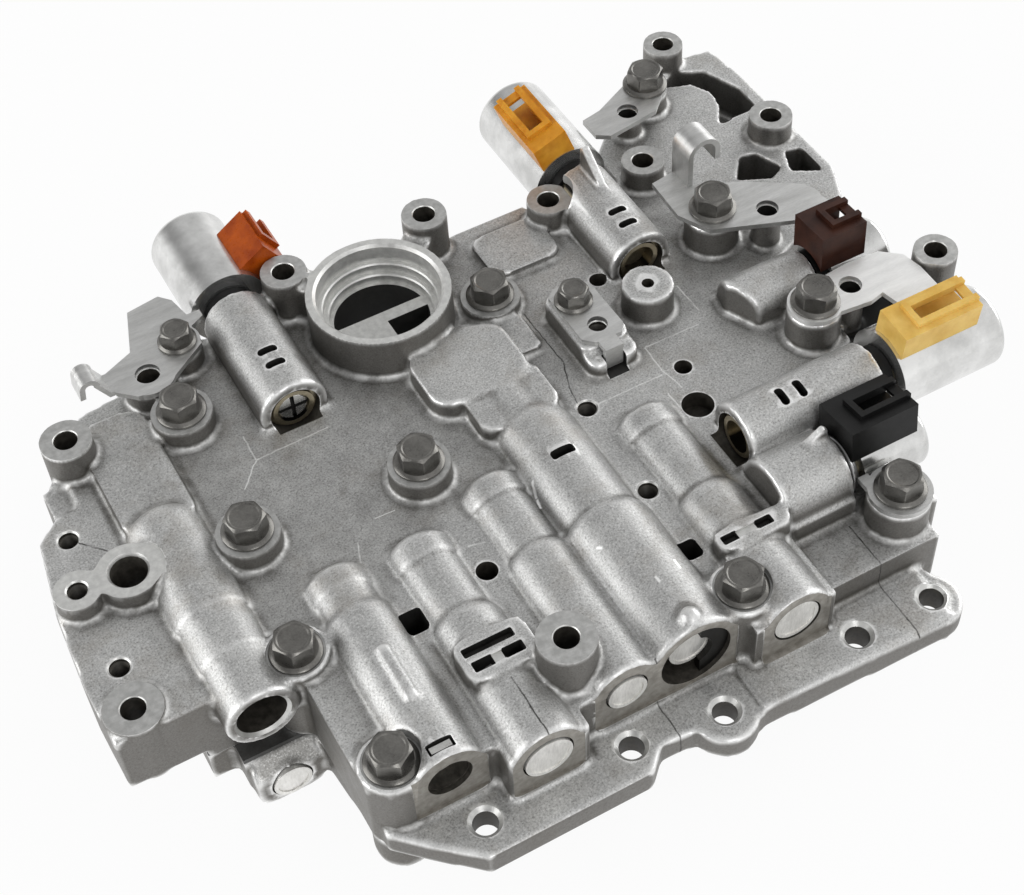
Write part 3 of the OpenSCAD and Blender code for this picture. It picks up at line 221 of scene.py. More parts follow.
def cut(obj, cutters, material):
    """Takes closed cutters out of obj and gives the cut faces a material. A cutter is a function and its arguments.

    Cutters whose boxes lie clear of one another share one Boolean.
    """
    if material.name not in obj.data.materials:
        obj.data.materials.append(material)
    slot = list(obj.data.materials).index(material)
    groups = []
    for draw, *args in cutters:
        bm = bmesh.new()
        draw(bm, *args)
        co = np.array([v.co for v in bm.verts])
        lo, hi = co.min(0) - CLEAR, co.max(0) + CLEAR
        for g in groups:
            if all((lo > b).any() or (hi < a).any() for a, b in g["boxes"]):
                break
        else:
            g = {"bm": bmesh.new(), "boxes": []}
            groups.append(g)
        tmp = to_mesh(bm, "tmp")
        g["bm"].from_mesh(tmp)
        bpy.data.meshes.remove(tmp)
        g["boxes"].append((lo, hi))
    tools = []
    for g in groups:
        mesh = to_mesh(g["bm"], "cutter")
        for m in obj.data.materials:
            mesh.materials.append(m)
        mesh.polygons.foreach_set("material_index", np.full(len(mesh.polygons), slot, np.int32))
        tool = new_object("cutter", mesh)
        tools.append(tool)
        mod = obj.modifiers.new("cut", "BOOLEAN")
        mod.operation, mod.solver, mod.object = "DIFFERENCE", "MANIFOLD", tool
    settle(obj)
    for t in tools:
        bpy.data.objects.remove(t)


def crease(mesh, degrees):
    """Smooth shading with sharp edges above an angle."""
    mesh.polygons.foreach_set("use_smooth", np.ones(len(mesh.polygons), bool))
    bm = bmesh.new()
    bm.from_mesh(mesh)
    limit = math.radians(degrees)
    for e in bm.edges:
        e.smooth = len(e.link_faces) == 2 and e.calc_face_angle(0) < limit
    bm.to_mesh(mesh)
    bm.free()


def wear_and_glint(mesh, steps, gain, wide_steps, wide_gain):
    """Stores how convex or hollow the surface is at each vertex: close by, for rubbed edges and painted highlights,
    and wider, for dirt and painted shade.
    """
    n = len(mesh.vertices)
    co, no = np.zeros(n * 3), np.zeros(n * 3)
    mesh.vertices.foreach_get("co", co)
    mesh.vertices.foreach_get("normal", no)
    co, no = co.reshape(-1, 3), no.reshape(-1, 3)
    ed = np.zeros(len(mesh.edges) * 2, np.int64)
    mesh.edges.foreach_get("vertices", ed)
    a, b = ed.reshape(-1, 2).T
    ends, others = np.r_[a, b], np.r_[b, a]
    count = np.bincount(ends, minlength=n).clip(1)

    def mean(x):
        if x.ndim == 1:
            return np.bincount(ends, x[others], n) / count
        return np.stack([mean(c) for c in x.T], 1)

    length = np.bincount(ends, np.tile(np.linalg.norm(co[a] - co[b], axis=1), 2), n) / count
    bend = -((mean(co) - co) * no).sum(1) / np.maximum(length, 1e-6)
    for _ in range(steps):
        bend = 0.5 * bend + 0.5 * mean(bend)
    far = co
    for _ in range(wide_steps):
        far = 0.3 * far + 0.7 * mean(far)
    deep = ((far - co) * no).sum(1) / MM
    for name, value in (("wear_and_glint", bend * gain), ("deep", deep * wide_gain)):
        attr = mesh.attributes.new(name, "FLOAT", "POINT")
        attr.data.foreach_set("value", np.clip(value, -1, 1).astype(np.float32))


# Materials

class Shade:
    """Small helper around one material's node tree. Coordinates are the object's, in millimetres."""

    def __init__(self, name):
        self.mat = bpy.data.materials.new(name)
        self.mat.use_nodes = True
        self.tree = self.mat.node_tree
        self.tree.nodes.clear()
        self.out = self.add("ShaderNodeOutputMaterial")
        self.bsdf = self.add("ShaderNodeBsdfPrincipled")
        self.link(self.bsdf.outputs[0], self.out.inputs[0])
        coord = self.add("ShaderNodeTexCoord")
        scale = self.add("ShaderNodeMapping")
        scale.inputs["Scale"].default_value = (1000, 1000, 1000)
        self.link(coord.outputs["Object"], scale.inputs["Vector"])
        self.mm = scale.outputs[0]

    def add(self, kind, **props):
        node = self.tree.nodes.new(kind)
        for k, v in props.items():
            setattr(node, k, v)
        return node

    def link(self, a, b):
        self.tree.links.new(a, b)

    def set(self, **values):
        """Sets or links sockets of the shader; an underscore stands for a space."""
        for k, v in values.items():
            sock = self.bsdf.inputs[k.replace("_", " ")]
            if hasattr(v, "is_linked"):
                self.link(v, sock)
            else:
                sock.default_value = v

    def stretch(self, sx, sy, sz):
        """Coordinates scaled along the axes."""
        m = self.add("ShaderNodeMapping")
        m.inputs["Scale"].default_value = (sx, sy, sz)
        self.link(self.mm, m.inputs["Vector"])
        return m.outputs[0]

    def noise(self, scale, detail=4, rough=0.55, vector=None):
        n = self.add("ShaderNodeTexNoise")
        n.inputs["Scale"].default_value = scale
        n.inputs["Detail"].default_value = detail
        n.inputs["Roughness"].default_value = rough
        self.link(vector or self.mm, n.inputs["Vector"])
        return n.outputs[0]

    def span(self, value, a, b, c=0.0, d=1.0):
        """Maps a..b of value to c..d, held at both ends."""
        m = self.add("ShaderNodeMapRange")
        m.inputs["From Min"].default_value = a
        m.inputs["From Max"].default_value = b
        m.inputs["To Min"].default_value = c
        m.inputs["To Max"].default_value = d
        self.link(value, m.inputs["Value"])
        return m.outputs[0]

    def math(self, op, a, b=0.0):
        m = self.add("ShaderNodeMath", operation=op)
        for k, v in enumerate((a, b)):
            if hasattr(v, "is_linked"):
                self.link(v, m.inputs[k])
            else:
                m.inputs[k].default_value = v
        return m.outputs[0]

    def mix(self, factor, a, b):
        m = self.add("ShaderNodeMix", data_type="RGBA")
        for sock, v in ((m.inputs[0], factor), (m.inputs[6], a), (m.inputs[7], b)):
            if hasattr(v, "is_linked"):
                self.link(v, sock)
            elif isinstance(v, (int, float)):
                sock.default_value = v
            else:
                sock.default_value = (*v, 1)
        return m.outputs[2]

    def attribute(self, name):
        """A value stored at the vertices."""
        return self.add("ShaderNodeAttribute", attribute_name=name).outputs["Fac"]

    def normal(self):
        """The parts of the surface normal along X, Y and Z."""
        split = self.add("ShaderNodeSeparateXYZ")
        self.link(self.add("ShaderNodeNewGeometry").outputs["Normal"], split.inputs[0])
        return split.outputs

    def inside(self, low, high):
        """A mask of the space between two corners, soft over a millimetre."""
        split = self.add("ShaderNodeSeparateXYZ")
        self.link(self.mm, split.inputs[0])
        total = 1.0
        for k in range(3):
            for a, b in ((low[k], low[k] + 1), (high[k], high[k] - 1)):
                total = self.math("MULTIPLY", self.span(split.outputs[k], a, b), total)
        return total

    def wobble(self, amount):
        """Coordinates shaken a little, so that a straight line looks hand-finished."""
        n = self.add("ShaderNodeTexNoise")
        n.inputs["Scale"].default_value = 0.35
        n.inputs["Detail"].default_value = 3
        self.link(self.mm, n.inputs["Vector"])
        m = self.add("ShaderNodeVectorMath", operation="MULTIPLY_ADD")
        self.link(n.outputs["Color"], m.inputs[0])
        m.inputs[1].default_value = (amount, amount, 0)
        self.link(self.mm, m.inputs[2])
        return m.outputs[0]

    def strokes(self, lines, width, vector):
        """A mask of straight strokes seen from above."""
        total = None
        for (x0, y0), (x1, y1) in lines:
            u = Vector((x1 - x0, y1 - y0))
            half = u.length / 2
            u.normalize()
            mid = Vector(((x0 + x1) / 2, (y0 + y1) / 2))
            parts = []
            for d, edge in ((Vector((-u.y, u.x)), width), (u, half)):
                dot = self.add("ShaderNodeVectorMath", operation="DOT_PRODUCT")
                self.link(vector, dot.inputs[0])
                dot.inputs[1].default_value = (d.x, d.y, 0)
                off = self.math("ABSOLUTE", self.math("SUBTRACT", dot.outputs["Value"], d.dot(mid)))
                parts.append(self.span(off, edge - width * 0.6, edge, 1.0, 0.0))
            one = self.math("MULTIPLY", *parts)
            total = one if total is None else self.math("MAXIMUM", total, one)
        return total

    def bump(self, height, strength, distance_mm):
        b = self.add("ShaderNodeBump")
        b.inputs["Strength"].default_value = strength
        b.inputs["Distance"].default_value = distance_mm * MM
        self.link(height, b.inputs["Height"])
        self.link(b.outputs[0], self.bsdf.inputs["Normal"])


# Colours of grain and stains, of rubbed edges and dirt, and of painted shade and painted highlights on the castings
DARK_GRAIN, BRIGHT_GRAIN = (0.17, 0.166, 0.158), (0.85, 0.85, 0.84)
STAIN, WALL_SHADE, DIRT_AND_SHADE = (0.24, 0.205, 0.16), (0.105, 0.097, 0.085), (0.075, 0.07, 0.06)
FILLET_HIGHLIGHT, WORN_AND_GLINT = (0.8, 0.8, 0.79), (0.95, 0.95, 0.94)
PAINTED_SHADOW, CRACK, RIDGE = (0.012, 0.012, 0.011), (0.04, 0.038, 0.035), (0.85, 0.85, 0.84)
SIDE_SHADE = (0.012, 0.011, 0.01)


def cast_metal(name, low, high, rough, lines=True):
    """Die-cast aluminium: fine grain, soft mottling, painted shade on steep walls, dirt with painted shade in
    hollows, painted highlights on tight fillets, rubbed edges painted bright with a highlight, parting lines, and a
    corner painted black as shade.
    """
    s = Shade(name)
    patch = s.noise(0.03, 3, 0.6)
    mottle = s.noise(0.2, 5, 0.65)
    grain = s.noise(1.9, 3, 0.7)
    tone = s.math("ADD", s.math("MULTIPLY", patch, 0.5), s.math("MULTIPLY", mottle, 0.5))
    base = s.mix(s.span(tone, 0.35, 0.65), low, high)
    base = s.mix(s.span(grain, 0.48, 0.3, 0.0, 0.75), base, DARK_GRAIN)
    base = s.mix(s.span(grain, 0.52, 0.7, 0.0, 0.6), base, BRIGHT_GRAIN)
    stain = s.span(s.noise(0.055, 5, 0.7), 0.52, 0.68, 0.0, 0.3)
    base = s.mix(stain, base, STAIN)
    # Steep walls are painted darker: painted shade where less light falls.
    steep = s.span(s.math("ABSOLUTE", s.normal()[2]), 0.6, 0.2, 0.0, 0.8)
    base = s.mix(steep, base, WALL_SHADE)
    rub_and_glint, deep = s.attribute("wear_and_glint"), s.attribute("deep")
    # Hollows are darkened: partly dirt, partly painted shade.
    hollow = s.math("MULTIPLY", s.span(deep, 0.1, 0.7), s.span(mottle, 0.3, 0.65, 0.85, 0.45))
    base = s.mix(hollow, base, DIRT_AND_SHADE)
    # Tight concave fillets are painted bright: a painted highlight.
    fillet = s.math("MULTIPLY", s.span(rub_and_glint, -0.08, -0.3), s.span(mottle, 0.4, 0.6, 0.25, 0.75))
    base = s.mix(fillet, base, FILLET_HIGHLIGHT)
    # Convex edges are painted bright: partly rubbed metal, partly a painted highlight.
    edge = s.math("MULTIPLY", s.span(rub_and_glint, 0.07, 0.38), s.span(mottle, 0.3, 0.6, 0.55, 1.0))
    base = s.mix(s.math("MULTIPLY", edge, 0.9), base, WORN_AND_GLINT)
    if lines:
        # A box under the right bracket is painted black: painted shade.
        base = s.mix(s.inside(*SHADOW_BOX), base, PAINTED_SHADOW)
        shaken = s.wobble(0.9)
        seam = s.math("MULTIPLY", s.strokes(SEAMS, 0.28, shaken), s.span(mottle, 0.35, 0.55, 0.4, 0.9))
        base = s.mix(seam, base, CRACK)
        ridge = s.math("MULTIPLY", s.strokes(RIDGES, 0.3, shaken), s.span(mottle, 0.35, 0.55, 0.3, 0.75))
        base = s.mix(ridge, base, RIDGE)
        # Nicks are scratches painted bright, with a painted glint.
        base = s.mix(s.strokes(NICKS, 0.45, shaken), base, WORN_AND_GLINT)
    r = s.span(mottle, 0.3, 0.7, rough - 0.05, rough + 0.07)
    r = s.math("SUBTRACT", r, s.math("MULTIPLY", edge, 0.12))
    s.set(Base_Color=base, Metallic=0.8, Roughness=r)
    s.bump(s.math("ADD", grain, mottle), 0.45, 0.13)
    return s.mat


def cut_metal(name, low, high, rough, turn_marks=5.0, metallic=0.65):
    """Machined metal: smoother, with tool marks and stains."""
    s = Shade(name)
    mottle = s.noise(0.5, 4, 0.6)
    marks = s.noise(1.0, 2, 0.5, s.stretch(0.25, turn_marks, turn_marks))
    base = s.mix(s.span(mottle, 0.35, 0.65), low, high)
    base = s.mix(s.math("MULTIPLY", s.span(marks, 0.45, 0.6), 0.25), base, low)
    s.set(Base_Color=base, Metallic=metallic, Roughness=s.span(mottle, 0.3, 0.7, rough - 0.05, rough + 0.08))
    s.bump(marks, 0.15, 0.04)
    return s.mat


def plain_metal(name, low, high, rough, grain=0.1, stretch=(1, 1, 1), metallic=0.9, fleck=0.35, shaded_sides=False):
    """Turned, pressed or drawn metal with clouds and fine grain. With shaded sides, only its end faces stay clear;
    the rest is painted near black as shade.
    """
    s = Shade(name)
    v = s.stretch(*stretch)
    cloud = s.noise(0.16, 4, 0.6, v)
    fine = s.noise(1.8, 3, 0.6, v)
    tone = s.math("ADD", s.math("MULTIPLY", cloud, 1 - fleck), s.math("MULTIPLY", fine, fleck))
    base = s.mix(s.span(tone, 0.36, 0.64), low, high)
    if shaded_sides:
        x, y, _ = s.normal()
        along = s.math("MAXIMUM", s.math("ABSOLUTE", x), s.math("ABSOLUTE", y))
        # Faces turned mostly up or down are painted near black: painted shade.
        base = s.mix(s.span(along, 0.85, 0.7), base, SIDE_SHADE)
    r = s.span(tone, 0.3, 0.7, rough - 0.05, rough + 0.07)
    s.set(Base_Color=base, Metallic=metallic, Roughness=r)
    s.bump(fine, grain, 0.05)
    return s.mat


def plastic(name, low, high, rough, glow=0.0):
    """Moulded plastic or rubber, cloudy, with some light let in."""
    s = Shade(name)
    cloud = s.noise(0.14, 4, 0.6)
    fine = s.noise(1.5, 4, 0.6)
    base = s.mix(s.span(cloud, 0.35, 0.65), low, high)
    s.set(Base_Color=base, Roughness=s.span(fine, 0.3, 0.7, rough - 0.06, rough + 0.08), Specular_IOR_Level=0.22)
    if glow:
        s.set(Subsurface_Weight=glow, Subsurface_Radius=(0.004, 0.002, 0.0006), Subsurface_Scale=0.6)
    s.bump(fine, 0.1, 0.05)
    return s.mat


CAST = cast_metal("cast_aluminium", (0.45, 0.45, 0.445), (0.585, 0.585, 0.575), 0.46)
# A darker copy of the cast aluminium for the lower casting: painted shade under the upper one.
CAST_LOW = cast_metal("cast_aluminium_lower", (0.26, 0.255, 0.245), (0.36, 0.355, 0.34), 0.42, False)
SEAT = cut_metal("machined_seat", (0.38, 0.38, 0.37), (0.52, 0.52, 0.51), 0.42, 1.5)
CUT = cut_metal("machined_aluminium", (0.55, 0.55, 0.535), (0.7, 0.7, 0.68), 0.36)
# Milled fronts are darker and warmer than the other machined faces: a brownish stain and painted shade.
FRONT = cut_metal("milled_front", (0.24, 0.225, 0.2), (0.36, 0.345, 0.315), 0.34)
# Dark bored metal: painted shade inside the holes and bores.
SHADED_BORE = cut_metal("bored_aluminium_painted_shade", (0.03, 0.027, 0.022), (0.075, 0.068, 0.057), 0.5, metallic=0.3)
# Near black for slots, windows and the holes under the brackets: painted shade.
SHADED_PIT = cut_metal("slot_painted_shade", (0.008, 0.008, 0.007), (0.022, 0.021, 0.019), 0.6, metallic=0.0)
STEEL_PLATE = plain_metal("plate_steel", (0.09, 0.09, 0.088), (0.15, 0.15, 0.148), 0.45)
BOLT = plain_metal("bolt_steel", (0.13, 0.126, 0.118), (0.22, 0.214, 0.2), 0.3)
# Bright bolt edges: rubbed metal and a painted highlight.
BOLT_EDGE = plain_metal("bolt_edge_rubbed_and_glinting", (0.72, 0.71, 0.68), (0.95, 0.94, 0.91), 0.24)
# Spools are painted dark: painted shade, as they lie inside their bores.
SPOOL = plain_metal("spool_aluminium", (0.16, 0.155, 0.14), (0.28, 0.27, 0.25), 0.3)
SPRING = plain_metal("spring_steel", (0.3, 0.3, 0.3), (0.5, 0.5, 0.5), 0.3)
PLUG = plain_metal("plug_aluminium", (0.6, 0.59, 0.56), (0.93, 0.92, 0.89), 0.3, 0.05, (1, 1, 0.3), 0.6)
KEEPER = plain_metal("keeper_steel", (0.5, 0.5, 0.48), (0.75, 0.75, 0.73), 0.3)
# Near-black keeper steel: painted shade for the keepers that sit down in slots and bores.
SHADED_KEEPER = plain_metal("keeper_steel_painted_shade", (0.012, 0.012, 0.011), (0.03, 0.029, 0.027), 0.4)
NOSE = plain_metal("nose_steel", (0.3, 0.25, 0.16), (0.55, 0.49, 0.36), 0.3, 0.05, shaded_sides=True)
CAN = plain_metal("can_steel", (0.58, 0.58, 0.57), (0.8, 0.8, 0.79), 0.19, 0.02, (0.6, 0.6, 0.6), 0.92, fleck=0.1)
SCREW = plain_metal("screw_steel", (0.62, 0.62, 0.6), (0.85, 0.85, 0.83), 0.24, 0.03)
SHEET = plain_metal("sheet_steel", (0.5, 0.5, 0.49), (0.68, 0.68, 0.67), 0.36, 0.05, (0.4, 2.5, 1))
PALE_SHEET = plain_metal("pale_sheet_steel", (0.8, 0.8, 0.79), (0.94, 0.94, 0.93), 0.34, 0.05, (0.4, 2.5, 1),
                         0.6)
BRASS = plain_metal("terminal_brass", (0.55, 0.45, 0.25), (0.75, 0.65, 0.4), 0.3)
RUBBER = plastic("seal_rubber", (0.004, 0.004, 0.004), (0.01, 0.01, 0.01), 0.5)
ORANGE = plastic("orange_plastic", (0.26, 0.038, 0.003), (0.44, 0.082, 0.005), 0.3, 0.05)
AMBER = plastic("amber_plastic", (0.52, 0.2, 0.012), (0.72, 0.34, 0.035), 0.32, 0.2)
BROWN = plastic("brown_plastic", (0.024, 0.008, 0.005), (0.05, 0.018, 0.011), 0.34)
YELLOW = plastic("yellow_plastic", (0.68, 0.42, 0.09), (0.82, 0.56, 0.16), 0.33, 0.1)
BLACK = plastic("black_plastic", (0.004, 0.004, 0.004), (0.009, 0.009, 0.009), 0.36)


def paint(obj, material):
    """Gives an object one material."""
    obj.data.materials.clear()
    obj.data.materials.append(material)


# Materials of single nodes, and of the nodes whose names start alike.
LOOK = {"separator_plate": STEEL_PLATE, "flange_bolts": BOLT, "small_bolts": BOLT, "bracket_bolts": BOLT,
        "terminals": BRASS, "seal_rings": RUBBER, "spring_ring": SPRING, "adjuster_screw": SCREW,
        "keeper_2": SHADED_KEEPER, "keeper_4": SHADED_KEEPER, "keeper_5": SHADED_KEEPER, "connector_1": ORANGE, "connector_2": AMBER,
        "connector_3": BROWN, "connector_4": YELLOW, "connector_5": BLACK, "left_bracket": SHEET,
        "rear_bracket": SHEET, "loop_bracket": SHEET, "right_bracket": PALE_SHEET, "front_bracket": SHEET,
        "clip": SHEET}
STARTS = {"spool_": SPOOL, "spring_": SPRING, "plug_": PLUG, "keeper_": KEEPER, "nose_": NOSE, "can_": CAN}
for name, obj in nodes.items():
    look = LOOK.get(name) or next((m for k, m in STARTS.items() if name.startswith(k)), CAST)
    paint(obj, look)

# Small edges of the pressed, turned and moulded pieces catch the light: width of the bevel.
EDGES = {"separator_plate": 0.2, "left_bracket": 0.3, "rear_bracket": 0.3, "loop_bracket": 0.3,
         "right_bracket": 0.3, "front_bracket": 0.3, "clip": 0.3, "keeper_2": 0.2, "keeper_4": 0.2, "keeper_5": 0.2}
EDGES.update({f"plug_{k}": 0.45 for k in range(1, 7)})
for k in range(1, 6):
    EDGES[f"connector_{k}"], EDGES[f"nose_{k}"] = 0.6, 0.4
for name, width in EDGES.items():
    mod = nodes[name].modifiers.new("edge", "BEVEL")
    mod.width, mod.segments, mod.limit_method, mod.angle_limit = width * MM, 3, "ANGLE", math.radians(35)


# The castings: holes filled and tops raised, rounded as castings, then machined crisp

# How far tops are raised before they are machined, how far fillers stay below plain and below slotted faces, and
# how much wider than its hole a filler is.
RAISE, BELOW, SKIN, WIDER = 0.9, 0.05, 0.03, 0.8


def nose_base(c, axis):
    """The point on the axis of a solenoid that places along it are counted from."""
    return (c, 0, SOL_Z) if axis == "y" else (0, c, SOL_Z)


def open_boss(y, h):
    """A boss that stands free, so that its whole top is machined; a cutter next to a hump stays small."""
    return h > 6 or y > 50


def web(bm, p, half, top):
    """A wall from a post to the ring."""
    d = Vector((RING[0] - p[0], RING[1] - p[1]))
    n = d.length - RING_R + 3
    d.normalize()
    e = Vector((-d.y, d.x)) * half
    a, b = Vector(p), Vector(p) + d * n
    prism(bm, [tuple(a - e), tuple(b - e), tuple(b + e), tuple(a + e)], JOINT + 4, top)


def grow_upper(bm):
    """Forms that the node lacks, and fillers for what is machined again after the rounding."""
    web(bm, POSTS[2][:2], 4.5, DECK + 12)
    web(bm, POSTS[3][:2], 4.5, DECK + 10)
    brick(bm, *SHELF)
    for x, y, z in BRACKET_HOLES:
        upright(bm, x, y, DECK - 4, z - BELOW, 4.4)
    for x, y, r in SWELLS:
        swell = [(y - 8.5, r + 0.6), (y - 2.2, r + 0.6), (y - 0.6, r - 0.9), (y + 0.3, r - 2.6)]
        turned(bm, (x, 0, BORE), "y", swell)
    for x, y0, half, r in FRONTS:
        turned(bm, (x, 0, BORE), "y", [(y0 - 0.7, r), (y0 + 3, r)])
        brick(bm, x - half, y0 - 0.7, FLANGE - 1, x + half, y0 + 3, BORE)
    for x, y, h in FLANGE_BOLTS:
        upright(bm, x, y, JOINT + 0.3, DECK + h + (RAISE if open_boss(y, h) else 0.25), BOSS_R)
    for x, y, h, r in POSTS:
        upright(bm, x, y, JOINT + 4, DECK + h + RAISE, r)
    for x, y, z in FLANGE_HOLES:
        upright(bm, x, y, JOINT + 0.3, z - BELOW, 4.2)
    for x, y, r, d in PLAIN_HOLES:
        upright(bm, x, y, DECK - d - 1, DECK - BELOW, r + WIDER)
    for x, y, z, d in TAPPED_HOLES:
        upright(bm, x, y, z - d - 1, z - BELOW, TAP + WIDER)
    for x, y0, y1, r in VALVES + [OPEN_BORE]:
        turned(bm, (x, 0, BORE), "y", [(y0 + BELOW, r + WIDER), (y1 + 1, r + WIDER)])
    x, y0 = VALVES[MAIN][:2]
    wide = COUNTERBORE + 0.6
    turned(bm, (x, 0, BORE), "y", [(y0 + BELOW, wide), (COUNTERBORE_END + 1, wide)])
    upright(bm, *PAD_BORE, JOINT + 4, PAD_TOP + 1.6, 8.6)
    upright(bm, *PAD_THREAD, JOINT + 4, PAD_TOP + 1.6, 6.3)
    brick(bm, PAD_THREAD[0], 12.4, DECK - 1, PAD_BORE[0], 19.4, PAD_TOP + 1.6)
    upright(bm, *LEFT_PAD, JOINT + 4, LOW_PAD - BELOW, 4.2)
    upright(bm, *STUD, DECK, STUD_TOP - BELOW, 2.8)
    upright(bm, *RING, JOINT + 0.3, RING_TOP + RAISE, RING_R - BELOW)
    brick(bm, -18.6, -60.4, BORE - 2, 0.2, -48.1, SLOT_TOP - SKIN)
    brick(bm, 55.1, -58.4, BORE - 2, 75.4, -52.4, SLOT_TOP - SKIN)
    for x0, y0, x1, y1, z0, z1 in DECK_SLOTS:
        brick(bm, x0 - 0.6, y0 - 0.6, z0 - 1, x1 + 0.6, y1 + 0.6, z1 - SKIN)
    turned(bm, (VALVES[0][0], 0, BORE), "y", [(-73, 10.17), (-69, 10.17)])
    turned(bm, (VALVES[MAIN][0], 0, BORE), "y", [(-12, 12.07), (-6.6, 12.07)])
    brick(bm, 62.6, 14.2, DECK - 1, 70.2, 17.8, LOW_PAD - 2.03)
    for c, axis, front, mouth, windows in NOSES:
        r = HOUSING_R - SKIN
        turned(bm, nose_base(c, axis), axis, [(front - 0.9, r), (windows[1] + 3, r)])
        a = (c - NOSE_R - 0.5, front - 4.3, c + NOSE_R + 0.5, front)
        x0, y0, x1, y1 = a if axis == "y" else (a[1], a[0], a[3], a[2])
        brick(bm, x0, y0, SOL_Z - NOSE_R - 1, x1, y1, DECK - SKIN)


def tops():
    """Machined tops of the bosses and posts."""
    for x, y, h in FLANGE_BOLTS:
        yield upright, x, y, DECK + h, DECK + h + 12, 9.9 if open_boss(y, h) else 7.6
    for x, y, h, r in POSTS:
        yield upright, x, y, DECK + h, DECK + h + 6, r + 1
    yield upright, *LEFT_PAD, LOW_PAD, LOW_PAD + 6, 8.4


def faces():
    """Pale machined pad and ring."""
    yield upright, *PAD_BORE, PAD_TOP, PAD_TOP + 6, 9.8
    yield upright, *PAD_THREAD, PAD_TOP, PAD_TOP + 6, 7.4
    yield brick, PAD_THREAD[0], 8, PAD_TOP, PAD_BORE[0], 23, PAD_TOP + 6
    steps = [(RING_FLOOR, 15), (RING_FLOOR + 2.6, 15), (RING_FLOOR + 3, 15.4), (RING_FLOOR + 3, 16.5),
             (RING_FLOOR + 5.6, 16.5), (RING_FLOOR + 6, 16.9), (RING_FLOOR + 6, 18), (RING_TOP - 0.8, 18),
             (RING_TOP, 18.8), (RING_TOP, 22.4), (RING_TOP + 6, 22.4)]
    yield turned, (*RING, 0), "z", steps, 96


def fronts():
    """Milled front faces of the valve bores, darker and brownish: a stain and painted shade."""
    for x, y0, half, r in FRONTS:
        yield brick, x - half - 1.2, y0 - 3, FLANGE + 1.4, x + half + 1.2, y0, BORE + r + 3


def rims():
    """Pale chamfers at the holes, and the shallow recess between the small slots."""
    for x, y, h, r in POSTS:
        yield turned, (x, y, DECK + h), "z", [(-0.4, 3.2), (0.05, 3.6), (1, 3.6)]
    for x, y, z in FLANGE_HOLES:
        yield turned, (x, y, z), "z", [(-1.1, 3.2), (0.05, 4.5), (1, 4.5)]
    for x, y, z, d in TAPPED_HOLES:
        yield turned, (x, y, z), "z", [(-0.7, TAP - 0.2), (0.05, TAP + 0.6), (1, TAP + 0.6)]
    yield turned, (*PAD_BORE, PAD_TOP), "z", [(-1, 4.9), (0.05, 5.7), (1, 5.7)]
    x, y0, y1, r = OPEN_BORE
    yield turned, (x, 0, BORE), "y", [(y0 - 2, r + 0.9), (y0 + 0.1, r + 0.9), (y0 + 1, r - 0.1)], 48
    yield prism, round_plan(-16.4, -58, -3.2, -55.4, 0.6), SLOT_TOP - 0.7, SLOT_TOP + 1
    yield prism, round_plan(56.2, -56.6, 70.8, -54.4, 0.6), SLOT_TOP - 0.7, SLOT_TOP + 1


def holes():
    """Bores and tapped holes, painted dark as shade."""
    for x, y, h in FLANGE_BOLTS:
        yield upright, x, y, JOINT - 1, DECK + h + 1, BOLT_HOLE
    for x, y, h, r in POSTS:
        yield upright, x, y, JOINT - 1, DECK + h + 1, BOLT_HOLE
    for x, y, z in FLANGE_HOLES:
        yield upright, x, y, JOINT - 1, z + 1, BOLT_HOLE
    for x, y, r, d in PLAIN_HOLES:
        yield upright, x, y, DECK - d, DECK + 1, r
    for x, y, z, d in TAPPED_HOLES:
        thread = [(-d, TAP - 0.3)]
        for k in range(d - 4):
            thread += [(-d + 3 + k, TAP - 0.3), (-d + 3.5 + k, TAP + 0.2)]
        yield turned, (x, y, z), "z", thread + [(1, TAP)], 32
    for k, (x, y0, y1, r) in enumerate(VALVES):
        lip = COUNTERBORE if k == MAIN else r + 0.45
        step = COUNTERBORE_END if k == MAIN else y0 + 1.4
        yield turned, (x, 0, BORE), "y", [(y0 - 2, lip), (step, lip), (step, r), (y1, r)], 48
    x, y0, y1, r = OPEN_BORE
    yield turned, (x, 0, BORE), "y", [(y0 - 2, r), (y1, r)], 48
    yield upright, *PAD_BORE, JOINT - 1, PAD_TOP + 1, 5
    yield upright, *LEFT_PAD, JOINT - 1, LOW_PAD + 1, BOLT_HOLE
    yield upright, *STUD, DECK + 2, STUD_TOP + 2, 1.8


def slots():
    """Slots and windows, and the openings under the ring, with walls painted near black as shade."""
    behind, before, beside = BRIDGE
    lift = math.degrees(math.asin(behind / RING_HOLE))
    yield prism, arc_plan(*RING, RING_HOLE, lift, 180 - lift), JOINT - 1, RING_FLOOR + 0.5
    corner = [(RING[0] + beside, RING[1] - before)]
    drop = math.degrees(math.asin(before / RING_HOLE))
    side = math.degrees(math.acos(beside / RING_HOLE))
    yield prism, corner + arc_plan(*RING, RING_HOLE, -side, -drop), JOINT - 1, RING_FLOOR + 0.5
    for x, y, z in BRACKET_HOLES:
        yield upright, x, y, z - 10, z + 1, 3
    for x0, y0, x1, y1, z0, z1 in SLOTS:
        yield prism, round_plan(x0, y0, x1, y1, 0.5 if z1 > DECK else 1.4), z0, z1 + 1
    yield prism, round_plan(*KEEPER_SLOT, 0.4), BORE, DECK + 12
    yield prism, round_plan(*HUMP_WINDOW, 1), BORE, DECK + 14
    x0, y0, x1, y1 = CLIP_SLOT
    yield brick, x0, y0, DECK, x1, y1, LOW_PAD + 4
    for c, axis, front, mouth, windows in NOSES:
        for w in windows:
            a = (c - 2.9, w - 1.2, c + 2.9, w + 1.2) if axis == "y" else (w - 1.2, c - 3.9, w + 1.2, c + 1.9)
            yield prism, round_plan(*a, 1.1), SOL_Z, DECK + 20


